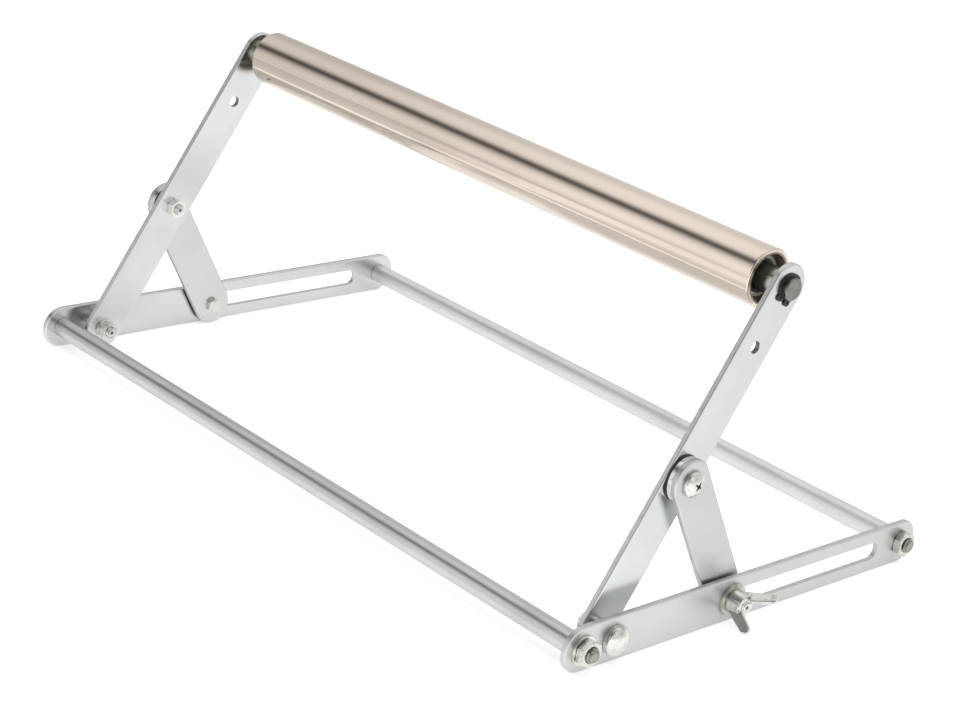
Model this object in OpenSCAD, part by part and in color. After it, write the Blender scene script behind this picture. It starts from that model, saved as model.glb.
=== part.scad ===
/* Roller stand: two slotted base bars joined by two rods carry a pair of leaning arms.
   The arms hold a free-turning roller on a fixed axle. A strut on each arm reaches down
   to a bolt in the base bar's slot, and a wing nut on that bolt sets the roller's height.
   X runs along the roller, +Y to the rear, +Z up. The origin is on the bench under the
   middle of the base. Lengths are in millimetres. */

/* [Frame] */
// Width over the outer faces of the two base bars
frame_w = 450; // [300:1:600]
// Distance between the front rod and the rear rod, centre to centre
rod_spacing = 252; // [235:1:320]
// Diameter of the two cross rods
rod_d = 12; // [9:0.5:16]
// Width of the flat strip that bars, arms and struts are cut from
strip_w = 25; // [22:0.5:32]
// Thickness of that strip
strip_t = 3; // [2:0.1:5]

/* [Arms] */
// Distance from the front rod to the arm's foot pivot
foot_offset = 22; // [20:0.5:30]
// Distance from the foot pivot to the axle
arm_len = 193; // [150:1:205]
// Distance from the foot pivot to the strut's pivot, which is also the strut's length
link_len = 85; // [76:0.5:95]
// Lean of the arms above the bench
arm_angle = 59; // [20:0.5:60.5]
// Steepest lean, where the bolt meets the front end of the slot
steepest_angle = 61; // [61:0.1:72]
// Distance from the axle down to the spare hole in each arm
spare_gap = 34; // [22:0.5:80]
// Diameter of the spare hole
spare_d = 6.5; // [4:0.1:10]
// Thickness of the round disc behind the strut
disc_t = 2.6; // [2.6:0.1:6]
// Thickness of the dark washer between that disc and the arm
shim_t = 1.4; // [1.4:0.1:2]

/* [Slot] */
// Width of the slot in each base bar
slot_w = 10; // [7:0.5:13]
// Distance from the slot's rear end to the rear rod
slot_margin = 21; // [14:0.5:30]

/* [Roller] */
// Outer diameter of the roller tube
roller_d = 32; // [30:0.5:50]
// Wall of the roller tube
tube_wall = 2; // [1.5:0.1:2.5]
// Rounding radius of the tube's outer edges
tube_round = 1.2; // [0.3:0.1:1.4]
// Gap between the roller's end and the arm
roller_gap = 10.4; // [6:0.1:20]
// Thickness of the bearing housing's lip at the tube's mouth
housing_lip = 1; // [0.5:0.1:1.5]
// Shoulder of the housing around the bearing's front face
housing_shoulder = 0.5; // [0.2:0.1:1]
// Length of housing behind the bearing
housing_back = 3; // [1:0.5:10]
// Depth of the bearing inside the tube's mouth
bearing_depth = 5; // [3:0.1:8]

/* [Axle] */
// Diameter of the axle
axle_d = 12; // [10:0.1:12.6]
// Length of the bright spacer against each arm
spacer_len = 7.4; // [3:0.1:10]
// Outer diameter of the spacers and of the dust bushes
spacer_d = 15; // [14:0.1:16]
// Length of axle that stands out past each arm
axle_tail = 3.5; // [2.5:0.1:3.6]
// Chamfer on the axle's ends
axle_chamfer = 0.5; // [0.2:0.1:0.8]
// Depth of the groove for the retaining ring
groove_depth = 0.5; // [0.3:0.1:0.8]
// Thickness of the retaining ring
ring_t = 1; // [0.6:0.1:1.2]
// Radial width of the retaining ring
ring_w = 2.2; // [1.4:0.1:2.4]
// Radius of the two lugs of the retaining ring
lug_r = 2; // [1.5:0.1:2.2]
// Angle from the ring's mouth to each lug
lug_angle = 27; // [24:1:40]
// Diameter of the hole in each lug
lug_hole_d = 1.5; // [1:0.1:2]

/* [Bearings] */
// Radial section of a bearing, from its bore to its outside
bearing_section = 4.5; // [4.2:0.1:5.5]
// Width of a bearing
bearing_w = 5; // [4:0.1:7]
// Thickness of each race beside the balls
race_t = 1.2; // [0.9:0.1:1.4]
// Depth of the ball groove in each race
race_groove = 0.3; // [0.2:0.05:0.4]
// Number of balls in a bearing
ball_count = 11; // [6:1:13]
// Thickness of the bearing's seals
seal_t = 0.4; // [0.2:0.05:0.6]
// Gap between a seal and the inner race
seal_gap = 0.3; // [0.2:0.05:0.4]

/* [Pivot bolts] */
// Diameter of the pivot and slot bolts
bolt_d = 6; // [5:0.1:6.8]
// Width across flats of their nuts
nut_af = 10; // [9.5:0.1:12]
// Height of their nuts
nut_h = 5; // [3:0.1:6]
// Length of bolt that stands out past a nut
bolt_tip = 1.5; // [0.5:0.1:3]
// Outer diameter of the small washer under the foot pivot's nut
washer_d = 12.5; // [11:0.1:15]
// Thickness of all the washers
washer_t = 1.6; // [1:0.1:2.5]
// Outer diameter of the sleeve between arm and base bar
sleeve_d = 12; // [10:0.1:16]
// Diameter of the domed head of the foot pivot's bolt
dome_d = 16.5; // [13:0.1:20]
// Height of that domed head
dome_h = 6; // [4.5:0.1:7]
// Straight rim under the rounded top of that head
dome_rim = 3.2; // [1:0.1:3.8]
// Diameter of the cross-recessed head of the strut's pivot screw
head_d = 14; // [12:0.1:16]
// Height of that head
head_h = 4.4; // [2.5:0.1:5]
// Straight rim under the rounded top of that head
head_rim = 1.8; // [0.5:0.1:2.2]
// Length of each arm of the cross recess
cross_len = 6; // [4:0.1:8]
// Width of each arm of the cross recess
cross_w = 1.2; // [0.8:0.1:1.6]
// Depth of the cross recess
cross_depth = 1.8; // [1:0.1:2.4]

/* [Slot bolts] */
// Width across flats of the slot bolt's hexagon head
slot_head_af = 8.6; // [8.4:0.1:11]
// Height of that head
slot_head_h = 2.6; // [2:0.1:3.9]
// Outer diameter of the large washers on both sides of the slotted bar
slot_washer_d = 18.5; // [15:0.1:22]
// Diameter of the wing nut's body at its base
wing_base_d = 13.4; // [10:0.1:14]
// Diameter of the wing nut's body at its top
wing_top_d = 12; // [9:0.1:13]
// Height of the wing nut's body
wing_body_h = 8; // [6:0.1:10]
// Radius that the tips of the wings reach
wing_reach = 14; // [12:0.1:14.5]
// Height that the tips of the wings reach
wing_h = 20; // [14:0.1:22]
// Radius of the rounded tip of a wing
wing_tip_r = 2.9; // [2:0.1:3.6]
// Thickness of a wing
wing_t = 2.6; // [1.8:0.1:3.4]
// Turn of the wings about the bolt, from level
wing_turn = 35; // [0:1:60]
// Length of slot bolt that stands out past the wing nut's body
slot_bolt_tip = 1; // [0.2:0.1:3]

/* [Rod ends] */
// Diameter of the threaded stud at each end of a rod
stud_d = 8; // [6:0.1:8.4]
// Width across flats of the nuts on the studs
stud_nut_af = 13; // [12:0.1:15]
// Height of those nuts
stud_nut_h = 5; // [3:0.1:7]
// Length of stud that stands out past its nut
stud_tip = 2; // [0.5:0.1:4]
// Outer diameter of the washers under the front rod's nuts
stud_washer_d = 16; // [14:0.1:20]
// Chamfer on the studs, the bolts and the shoulders of the rods
end_chamfer = 0.6; // [0.2:0.1:1]

/* [Hidden] */
$fn = 96;

// Overrun of every cut past the face that it opens
over = 1;
// Radial running clearance of pivots, bearings and nuts on their bolts
fit = 0.05;
// Axial running clearance where a screw head or a washer holds a turning arm or strut
play = 0.02;
// Radial clearance of a hole that a bolt or stud is dropped through
loose = 0.2;
// Rise of a nut's corner chamfer as a share of its run
nut_chamfer_share = 0.58;
// Radius of a wing's root as a share of its tip's radius
wing_root_share = 1.15;
// Height of a wing's root as a share of the wing nut's body height
wing_root_share_h = 0.45;
// Radius of a wing's root centre as a share of the body's base radius
wing_root_share_r = 0.62;

// Stack of faces on the right-hand side, from the outside inwards
bar_out = frame_w / 2;
bar_in = bar_out - strip_t;
strut_out = bar_in - washer_t;
strut_in = strut_out - strip_t;
disc_in = strut_in - disc_t;
arm_out = disc_in - shim_t;
arm_in = arm_out - strip_t;

// Places along the base
mid_z = strip_w / 2;
front_y = -rod_spacing / 2;
rear_y = rod_spacing / 2;
foot_y = front_y + foot_offset;
slot_bolt_y = foot_y + 2 * link_len * cos(arm_angle);
slot_front_y = foot_y + 2 * link_len * cos(steepest_angle) - bolt_d / 2;
slot_rear_y = rear_y - slot_margin;

// Roller and bearings
roller_end = arm_in - roller_gap;
bearing_out = roller_end - bearing_depth;
bearing_in = bearing_out - bearing_w;
bearing_bore_r = axle_d / 2 + fit;
bearing_r = axle_d / 2 + bearing_section;
inner_race_r = bearing_bore_r + race_t;
outer_race_r = bearing_r - race_t;
ball_ring_r = (inner_race_r + outer_race_r) / 2;
race_groove_r = (outer_race_r - inner_race_r) / 2 + race_groove;
ball_r = race_groove_r - fit;
tube_bore_r = roller_d / 2 - tube_wall;
spacer_in = arm_in - spacer_len;

// Axle ends
axle_end = arm_out + axle_tail;
groove_r = axle_d / 2 - groove_depth;

module both_sides() {
    children();
    mirror([1, 0, 0]) children();
}

// Places a flat outline, drawn with Y across and Z up, as a plate from x to x + t
module plate(x, t) {
    translate([x, 0, 0]) rotate([90, 0, 90]) linear_extrude(t) children();
}

// Stands a shape that is drawn along +Z on the plane x, pointing along +X, at [y, z]
module point_out(x, y, z) {
    translate([x, y, z]) rotate([0, 90, 0]) children();
}

// The same, pointing along -X
module point_in(x, y, z) {
    translate([x, y, z]) rotate([0, -90, 0]) children();
}

// Moves a shape to a distance along the arm from its foot pivot
module on_arm(distance) {
    translate([0, foot_y, mid_z]) rotate([arm_angle, 0, 0]) translate([0, distance, 0]) children();
}

// Strip outline with full round ends, from the origin to length
module strip_outline(length) {
    translate([0, -strip_w / 2]) square([length, strip_w]);
    for (s = [0, length]) translate([s, 0]) circle(d = strip_w);
}

// Rod along +Z with a chamfer at its far end
module pointed_rod(d, length, chamfer) {
    rotate_extrude() polygon([
        [0, 0],
        [d / 2, 0],
        [d / 2, length - chamfer],
        [d / 2 - chamfer, length],
        [0, length],
    ]);
}

module ring_plate(d, bore_r, t) {
    difference() {
        cylinder(d = d, h = t);
        translate([0, 0, -over]) cylinder(r = bore_r, h = t + 2 * over);
    }
}

module hex_body(af, h) {
    corner_r = af / 2 / cos(30);
    rise = (corner_r - af / 2) * nut_chamfer_share;
    intersection() {
        cylinder(r = corner_r, h = h, $fn = 6);
        rotate_extrude() polygon([
            [0, 0],
            [af / 2, 0],
            [corner_r, rise],
            [corner_r, h - rise],
            [af / 2, h],
            [0, h],
        ]);
    }
}

module hex_nut(af, h, bolt) {
    difference() {
        hex_body(af, h);
        translate([0, 0, -over]) cylinder(r = bolt / 2 + fit, h = h + 2 * over);
    }
}

// Round-topped cap of a ball, with its flat side on the origin
module dome(d, h) {
    ball_r = (d * d / 4 + h * h) / (2 * h);
    intersection() {
        translate([0, 0, h - ball_r]) sphere(r = ball_r);
        cylinder(d = d, h = h);
    }
}

// Bolt head with a straight rim under a rounded top, standing on the origin
module rimmed_head(d, h, rim) {
    cylinder(d = d, h = rim);
    translate([0, 0, rim]) dome(d, h - rim);
}

module base_bar() {
    color([0.85, 0.87, 0.89]) difference() {
        plate(bar_in, strip_t) translate([front_y, mid_z]) strip_outline(rod_spacing);
        for (y = [front_y, rear_y]) {
            point_out(bar_in - over, y, mid_z) cylinder(d = stud_d + 2 * loose, h = strip_t + 2 * over);
        }
        plate(bar_in - over, strip_t + 2 * over) translate([foot_y, mid_z]) {
            square(bolt_d + 2 * loose, center = true);
        }
        plate(bar_in - over, strip_t + 2 * over) slot_outline();
    }
}

module slot_outline() {
    front = slot_front_y + slot_w / 2;
    rear = slot_rear_y - slot_w / 2;
    translate([front, mid_z - slot_w / 2]) square([rear - front, slot_w]);
    for (y = [front, rear]) translate([y, mid_z]) circle(d = slot_w);
}

module cross_rod(y, stack) {
    stud_len = strip_t + stack + stud_nut_h + stud_tip;
    color([0.8, 0.8, 0.8]) both_sides() translate([0, y, mid_z]) {
        point_out(0, 0, 0) pointed_rod(rod_d, bar_in, end_chamfer);
        point_out(0, 0, 0) pointed_rod(stud_d, bar_in + stud_len, end_chamfer);
    }
}

module front_rod_washers() {
    color([0.8, 0.81, 0.8]) both_sides() point_out(bar_out, front_y, mid_z) {
        ring_plate(stud_washer_d, stud_d / 2 + loose, washer_t);
    }
}

module front_rod_nuts() {
    color([0.8, 0.81, 0.78]) both_sides() point_out(bar_out + washer_t, front_y, mid_z) {
        hex_nut(stud_nut_af, stud_nut_h, stud_d);
    }
}

module rear_rod_nuts() {
    color([0.8, 0.81, 0.78]) both_sides() point_out(bar_out, rear_y, mid_z) {
        hex_nut(stud_nut_af, stud_nut_h, stud_d);
    }
}

module foot_pivot_bolts() {
    shank = bar_out - arm_in + play + washer_t + nut_h + bolt_tip;
    color([0.78, 0.79, 0.78]) both_sides() {
        point_out(bar_out, foot_y, mid_z) rimmed_head(dome_d, dome_h, dome_rim);
        plate(bar_in, strip_t) translate([foot_y, mid_z]) square(bolt_d, center = true);
        point_in(bar_out, foot_y, mid_z) pointed_rod(bolt_d, shank, end_chamfer);
    }
}

module foot_pivot_sleeves() {
    color([0.75, 0.76, 0.76]) both_sides() point_out(arm_out, foot_y, mid_z) {
        ring_plate(sleeve_d, bolt_d / 2 + fit, bar_in - arm_out);
    }
}

module foot_pivot_washers() {
    color([0.78, 0.79, 0.78]) both_sides() point_in(arm_in - play, foot_y, mid_z) {
        ring_plate(washer_d, bolt_d / 2 + loose, washer_t);
    }
}

module foot_pivot_nuts() {
    color([0.8, 0.81, 0.78]) both_sides() point_in(arm_in - play - washer_t, foot_y, mid_z) {
        hex_nut(nut_af, nut_h, bolt_d);
    }
}

module arm() {
    color([0.83, 0.86, 0.89]) difference() {
        on_arm(0) plate(arm_in, strip_t) strip_outline(arm_len);
        for (s = [0, link_len]) {
            on_arm(s) point_out(arm_in - over, 0, 0) cylinder(r = bolt_d / 2 + fit, h = strip_t + 2 * over);
        }
        on_arm(arm_len) point_out(arm_in - over, 0, 0) cylinder(r = axle_d / 2 + fit, h = strip_t + 2 * over);
        on_arm(arm_len - spare_gap) point_out(arm_in - over, 0, 0) {
            cylinder(d = spare_d, h = strip_t + 2 * over);
        }
    }
}

module axle() {
    color([0.55, 0.54, 0.54]) difference() {
        both_sides() on_arm(arm_len) point_out(0, 0, 0) pointed_rod(axle_d, axle_end, axle_chamfer);
        both_sides() on_arm(arm_len) point_out(arm_out, 0, 0) {
            ring_plate(axle_d + 2 * over, groove_r, ring_t);
        }
    }
}

// Flat ring with a mouth towards -Y and a holed lug on each side of it
module ring_outline() {
    lug_at = groove_r + ring_w;
    mouth = groove_r + lug_r;
    difference() {
        union() {
            circle(r = groove_r + ring_w);
            for (side = [-1, 1]) rotate(180 + side * lug_angle) translate([lug_at, 0]) circle(r = lug_r);
        }
        circle(r = groove_r + fit);
        translate([0, -lug_r / 2]) mirror([1, 0]) square([lug_at + mouth, lug_r]);
        for (side = [-1, 1]) {
            rotate(180 + side * lug_angle) translate([lug_at, 0]) circle(d = lug_hole_d);
        }
    }
}

module retaining_rings() {
    color([0.06, 0.06, 0.06]) both_sides() on_arm(arm_len) plate(arm_out, ring_t) ring_outline();
}

module axle_spacers() {
    color([0.72, 0.73, 0.74]) both_sides() on_arm(arm_len) point_in(arm_in, 0, 0) {
        ring_plate(spacer_d, axle_d / 2 + fit, spacer_len);
    }
}

// Black bushes on the axle between the bearings and the bright spacers
module dust_bushes() {
    color([0.05, 0.05, 0.05]) both_sides() on_arm(arm_len) point_out(bearing_out, 0, 0) {
        ring_plate(spacer_d, axle_d / 2 + fit, spacer_in - bearing_out);
    }
}

// Ring on the axle's line with the bearing's width, between two radii, grooved for the balls
module race(inner_r, outer_r) {
    on_arm(arm_len) point_out(bearing_in, 0, 0) difference() {
        ring_plate(2 * outer_r, inner_r, bearing_w);
        translate([0, 0, bearing_w / 2]) rotate_extrude() {
            translate([ball_ring_r, 0]) circle(r = race_groove_r);
        }
    }
}

module bearing_inner_races() {
    color([0.7, 0.7, 0.72]) both_sides() race(bearing_bore_r, inner_race_r);
}

module bearing_outer_races() {
    color([0.7, 0.7, 0.72]) both_sides() race(outer_race_r, bearing_r);
}

module bearing_balls() {
    color([0.8, 0.8, 0.82]) both_sides() on_arm(arm_len) point_out(bearing_in + bearing_w / 2, 0, 0) {
        for (i = [0 : ball_count - 1]) {
            rotate(i * 360 / ball_count) translate([ball_ring_r, 0, 0]) sphere(r = ball_r);
        }
    }
}

module bearing_seals() {
    color([0.05, 0.05, 0.05]) both_sides() on_arm(arm_len) {
        for (x = [bearing_in, bearing_out - seal_t]) {
            point_out(x, 0, 0) ring_plate(2 * outer_race_r, inner_race_r + seal_gap, seal_t);
        }
    }
}

// Tube with rounded outer edges at both ends
module roller_tube() {
    edge = [roller_d / 2 - tube_round, roller_end - tube_round];
    color([0.8, 0.74, 0.7]) on_arm(arm_len) point_out(0, 0, 0) rotate_extrude() difference() {
        translate([tube_bore_r, -roller_end]) square([tube_wall, 2 * roller_end]);
        for (side = [0, 1]) mirror([0, side]) difference() {
            translate(edge) square(tube_round + over);
            translate(edge) circle(r = tube_round);
        }
    }
}

// Pressed ring in the tube's mouth: a cone that narrows to the bearing, then the bearing's seat
module bearing_housing() {
    seat_end = bearing_depth + bearing_w + housing_back;
    color([0.6, 0.59, 0.56]) on_arm(arm_len) point_in(roller_end, 0, 0) rotate_extrude() polygon([
        [tube_bore_r - housing_lip, 0],
        [tube_bore_r, 0],
        [tube_bore_r, seat_end],
        [bearing_r, seat_end],
        [bearing_r, bearing_depth],
        [bearing_r + housing_shoulder, bearing_depth],
    ]);
}

module strut_pivot_screws() {
    shank = strut_out + play - arm_in + nut_h + bolt_tip;
    color([0.82, 0.82, 0.8]) both_sides() on_arm(link_len) {
        point_out(strut_out + play, 0, 0) difference() {
            rimmed_head(head_d, head_h, head_rim);
            for (turn = [0, 90]) rotate(turn) translate([-cross_len / 2, -cross_w / 2, head_h - cross_depth]) {
                cube([cross_len, cross_w, cross_depth + over]);
            }
        }
        point_in(strut_out + play, 0, 0) pointed_rod(bolt_d, shank, end_chamfer);
    }
}

module strut_pivot_washers() {
    color([0.07, 0.07, 0.07]) both_sides() on_arm(link_len) point_out(arm_out, 0, 0) {
        ring_plate(strip_w, bolt_d / 2 + fit, shim_t);
    }
}

module strut_pivot_discs() {
    color([0.8, 0.81, 0.8]) both_sides() on_arm(link_len) point_out(disc_in, 0, 0) {
        ring_plate(strip_w, bolt_d / 2 + fit, disc_t);
    }
}

module strut_pivot_nuts() {
    color([0.8, 0.81, 0.78]) both_sides() on_arm(link_len) point_in(arm_in, 0, 0) {
        hex_nut(nut_af, nut_h, bolt_d);
    }
}

// Strut from its pivot on the arm down to the slot bolt, leaning as far back as the arm leans
module strut() {
    color([0.84, 0.87, 0.88]) difference() {
        on_arm(link_len) rotate([-2 * arm_angle, 0, 0]) plate(strut_in, strip_t) strip_outline(link_len);
        on_arm(link_len) point_out(strut_in - over, 0, 0) {
            cylinder(r = bolt_d / 2 + fit, h = strip_t + 2 * over);
        }
        point_out(strut_in - over, slot_bolt_y, mid_z) {
            cylinder(r = bolt_d / 2 + loose, h = strip_t + 2 * over);
        }
    }
}

module slot_bolt() {
    shank = bar_out - strut_in + washer_t + wing_body_h + slot_bolt_tip;
    color([0.78, 0.78, 0.76]) {
        point_in(strut_in, slot_bolt_y, mid_z) hex_body(slot_head_af, slot_head_h);
        point_out(strut_in, slot_bolt_y, mid_z) pointed_rod(bolt_d, shank, end_chamfer);
    }
}

module slot_washer(x) {
    color([0.74, 0.75, 0.72]) point_out(x, slot_bolt_y, mid_z) {
        ring_plate(slot_washer_d, bolt_d / 2 + loose, washer_t);
    }
}

// Outline of two discs and the straight flanks that touch both
module tapered_outline(a, a_r, b, b_r) {
    along = atan2(b[1] - a[1], b[0] - a[0]);
    spread = acos((a_r - b_r) / norm(b - a));
    flank = [for (side = [-1, 1]) [cos(along + side * spread), sin(along + side * spread)]];
    translate(a) circle(r = a_r);
    translate(b) circle(r = b_r);
    polygon([a + a_r * flank[0], b + b_r * flank[0], b + b_r * flank[1], a + a_r * flank[1]]);
}

module wing_nut() {
    root = [wing_base_d / 2 * wing_root_share_r, wing_body_h * wing_root_share_h];
    tip = [wing_reach - wing_tip_r, wing_h - wing_tip_r];
    color([0.8, 0.8, 0.8]) point_out(bar_out + washer_t, slot_bolt_y, mid_z) difference() {
        union() {
            cylinder(d1 = wing_base_d, d2 = wing_top_d, h = wing_body_h);
            for (half = [0, 180]) rotate([90, 0, 90 - wing_turn + half]) {
                translate([0, 0, -wing_t / 2]) linear_extrude(wing_t) {
                    tapered_outline(root, wing_tip_r * wing_root_share, tip, wing_tip_r);
                }
            }
        }
        translate([0, 0, -over]) cylinder(r = bolt_d / 2 + fit, h = wing_h + over);
    }
}

mirror([1, 0, 0]) base_bar();  // base_bar_left
base_bar();  // base_bar_right
cross_rod(front_y, washer_t);  // front_rod
cross_rod(rear_y, 0);  // rear_rod
front_rod_washers();
front_rod_nuts();
rear_rod_nuts();
foot_pivot_bolts();
foot_pivot_sleeves();
foot_pivot_washers();
foot_pivot_nuts();
mirror([1, 0, 0]) arm();  // arm_left
arm();  // arm_right
axle();
retaining_rings();
axle_spacers();
dust_bushes();
bearing_inner_races();
strut_pivot_screws();
strut_pivot_washers();
strut_pivot_discs();
strut_pivot_nuts();
roller_tube();
mirror([1, 0, 0]) bearing_housing();  // bearing_housing_left
bearing_housing();  // bearing_housing_right
bearing_outer_races();
bearing_balls();
bearing_seals();
mirror([1, 0, 0]) strut();  // strut_left
mirror([1, 0, 0]) slot_bolt();  // slot_bolt_left
mirror([1, 0, 0]) slot_washer(strut_out);  // slot_inner_washer_left
mirror([1, 0, 0]) slot_washer(bar_out);  // slot_outer_washer_left
strut();  // strut_right
slot_bolt();  // slot_bolt_right
slot_washer(strut_out);  // slot_inner_washer_right
slot_washer(bar_out);  // slot_outer_washer_right
mirror([1, 0, 0]) wing_nut();  // wing_nut_left
wing_nut();  // wing_nut_right
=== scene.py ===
"""Looks of the roller stand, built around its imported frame.

Every piece is shaped in millimetres, in the stand's own frame: X along the roller,
+Y to the rear and +Z up, with the origin on the bench under the middle of the base.
"""

from __future__ import annotations

import logging
import math
from dataclasses import dataclass, replace
from enum import Enum
from typing import Any, Callable, Sequence

import bmesh
import bpy
from bmesh.types import BMEdge, BMFace, BMVert
from mathutils import Matrix, Vector

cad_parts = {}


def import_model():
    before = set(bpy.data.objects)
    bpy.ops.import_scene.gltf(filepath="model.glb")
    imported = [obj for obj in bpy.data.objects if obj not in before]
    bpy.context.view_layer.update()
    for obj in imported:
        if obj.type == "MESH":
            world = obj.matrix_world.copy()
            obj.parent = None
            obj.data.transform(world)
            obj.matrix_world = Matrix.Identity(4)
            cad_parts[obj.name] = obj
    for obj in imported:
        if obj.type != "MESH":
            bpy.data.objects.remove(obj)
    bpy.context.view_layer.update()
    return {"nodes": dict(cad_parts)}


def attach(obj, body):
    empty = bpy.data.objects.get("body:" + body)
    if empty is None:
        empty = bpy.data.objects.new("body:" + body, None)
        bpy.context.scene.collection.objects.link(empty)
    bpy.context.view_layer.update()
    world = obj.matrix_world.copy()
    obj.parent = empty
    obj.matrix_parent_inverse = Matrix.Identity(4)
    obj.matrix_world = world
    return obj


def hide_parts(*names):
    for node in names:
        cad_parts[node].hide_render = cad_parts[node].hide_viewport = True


LOG = logging.getLogger("roller_stand")
MM = 0.001
TINY = 1e-4
ROUND_STEPS = 96
HOLE_STEPS = 48
NUT_STEPS = 144
CROWN_STEPS = 14
THREAD_STEPS = 40
# A hexagon nut: the width of its bearing face over that of its flats, the rise of its corner
# chamfer over the chamfer's run, how sharp its corners are, and the widening of its bore
NUT_FACE_SHARE = 0.955
NUT_RISE_SHARE = 0.58
NUT_CORNER_POWER = 60
NUT_DIP = 0.5
NUT_DIP_SHARE = 0.12
WASHER_ROUNDING = 0.28
# A thread: its depth over its pitch, where its flanks lie along one turn, and how far its root
# sinks into the core
THREAD_DEPTH_SHARE = 0.6
THREAD_FLANK_SHARES = (0.1, 0.45, 0.55, 0.9)
THREAD_RUNOUT_SHARE = 0.15
THREAD_SINK = 0.2
PIT_DEPTH_SHARE = 1.2
# Largest part along X of the normals of a pit's, a cross recess's and a straight hole's walls
PIT_SLOPE = 0.95
RECESS_SLOPE = 0.8
BORE_SLOPE = 0.35
# How far from its head's underside a bolt's shank starts, below a domed head or inside a hexagon
# head, and how far it reaches into the thread
SHANK_STEP = 0.5
LAP = 1.0
SHARP_ANGLE = math.radians(50)
Colour = tuple[float, float, float]
Edge = tuple[float, float]
FaceTest = Callable[[BMFace], bool]
# Turns the XY plane, in which circles are drawn, into the YZ plane of the strips
FACING_X = Matrix(((0, 0, 1, 0), (1, 0, 0, 0), (0, 1, 0, 0), (0, 0, 0, 1)))
# Turns X round: from the right-hand side to the left, or from outwards to inwards
MIRRORED = Matrix.Scale(-1, 4, (1, 0, 0))


class Side(Enum):
    """A side of the stand, by the sign of X."""

    LEFT = -1
    RIGHT = 1

    @property
    def word(self) -> str:
        """The side's name, as used in the names of pieces."""
        return self.name.lower()

    @property
    def rims(self) -> tuple["Rim", "Rim"]:
        """Rims of a strip's inner and outer face; the shear rolled over the face towards +X."""
        return (BURRED, ROLLED) if self is Side.RIGHT else (ROLLED, BURRED)


# Shader nodes


class Value:
    """A number that varies over a surface, with the arithmetic of plain numbers."""

    def __init__(self, graph: "Graph", socket: bpy.types.NodeSocket) -> None:
        """Wraps an output of a node in this graph."""
        self.graph = graph
        self.socket = socket

    def __add__(self, other: Any) -> "Value":
        """Sum with a number or a value."""
        return self.graph.math("ADD", self, other)

    __radd__ = __add__

    def __sub__(self, other: Any) -> "Value":
        """Difference from a number or a value."""
        return self.graph.math("SUBTRACT", self, other)

    def __rsub__(self, other: Any) -> "Value":
        """A number less this value."""
        return self.graph.math("SUBTRACT", other, self)

    def __mul__(self, other: Any) -> "Value":
        """Product with a number or a value."""
        return self.graph.math("MULTIPLY", self, other)

    def __truediv__(self, other: Any) -> "Value":
        """Quotient by a number or a value."""
        return self.graph.math("DIVIDE", self, other)

    def between(self, low: float, high: float) -> "Value":
        """A smooth rise from 0, at low, to 1, at high."""
        inputs = {"Value": self, "From Min": low, "From Max": high}
        return self.graph.node("ShaderNodeMapRange", {"interpolation_type": "SMOOTHSTEP"}, inputs)

    def within(self, start: Edge, end: Edge) -> "Value":
        """1 inside a stretch and 0 outside it, changing smoothly over its start and over its end."""
        return self.between(*start) * (1.0 - self.between(*end))


class Graph:
    """A node tree that is filled by expressions."""

    def __init__(self, tree: bpy.types.NodeTree) -> None:
        """Empties the tree, ready to be filled."""
        self.tree = tree
        self.tree.nodes.clear()

    def node(
        self,
        kind: str,
        settings: dict[str, Any] | None = None,
        inputs: dict[str | int, Any] | None = None,
        output: str | int = 0,
    ) -> Value:
        """Adds one node.

        Args:
            kind: The node's type.
            settings: Its properties, set before its sockets; "stops" are a ramp's.
            inputs: Values or links, by the name or number of each input.
            output: The output that the result stands for.

        Returns:
            The chosen output as a value.
        """
        made = self.tree.nodes.new(kind)
        for name, setting in (settings or {}).items():
            if name == "stops":
                self._set_stops(made.color_ramp, setting)
            else:
                setattr(made, name, setting)
        for name, given in (inputs or {}).items():
            socket = made.inputs[name]
            if isinstance(given, Value):
                self.tree.links.new(given.socket, socket)
            else:
                socket.default_value = given
        return Value(self, made.outputs[output] if len(made.outputs) else None)

    @staticmethod
    def _set_stops(ramp: bpy.types.ColorRamp, stops: Sequence[tuple[float, Colour]]) -> None:
        """Replaces a ramp's stops.

        Args:
            ramp: The ramp.
            stops: Pairs of place and colour.
        """
        while len(ramp.elements) > 1:
            ramp.elements.remove(ramp.elements[-1])
        for number, (place, colour) in enumerate(stops):
            element = ramp.elements[0] if number == 0 else ramp.elements.new(place)
            element.position = place
            element.color = (*colour, 1.0)

    def math(self, operation: str, *values: Any) -> Value:
        """Adds one Math node on numbers or values."""
        return self.node("ShaderNodeMath", {"operation": operation}, dict(enumerate(values)))

    def vector(self, operation: str, *values: Any, output: str | int = 0) -> Value:
        """Adds one Vector Math node on vectors or values."""
        return self.node("ShaderNodeVectorMath", {"operation": operation}, dict(enumerate(values)), output)

    def mix(self, share: Value, first: Colour, second: Colour) -> Value:
        """Mixes two colours, by the second one's share."""
        inputs = {0: share, 6: (*first, 1.0), 7: (*second, 1.0)}
        return self.node("ShaderNodeMix", {"data_type": "RGBA"}, inputs, 2)

    def place(self, turn: float = 0.0, move: Colour = (0, 0, 0), scale: Colour = (1, 1, 1)) -> Value:
        """The point on the piece, in metres.

        Args:
            turn: A turn about X in radians, after the scaling.
            move: A shift, after the turn.
            scale: A scale along each axis.

        Returns:
            The point as a value.
        """
        point = self.node("ShaderNodeTexCoord", output="Object")
        inputs = {"Vector": point, "Rotation": (turn, 0, 0), "Location": move, "Scale": scale}
        return self.node("ShaderNodeMapping", {"vector_type": "POINT"}, inputs)

    def split(self, vector: Value, axis: int) -> Value:
        """One part of a vector: 0, 1 or 2."""
        return self.node("ShaderNodeSeparateXYZ", None, {0: vector}, axis)

    def show(self, kind: str, surface: Value) -> None:
        """Makes a shader the tree's result, by an output node of this kind."""
        self.node(kind, None, {"Surface": surface})


# Finishes


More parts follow.
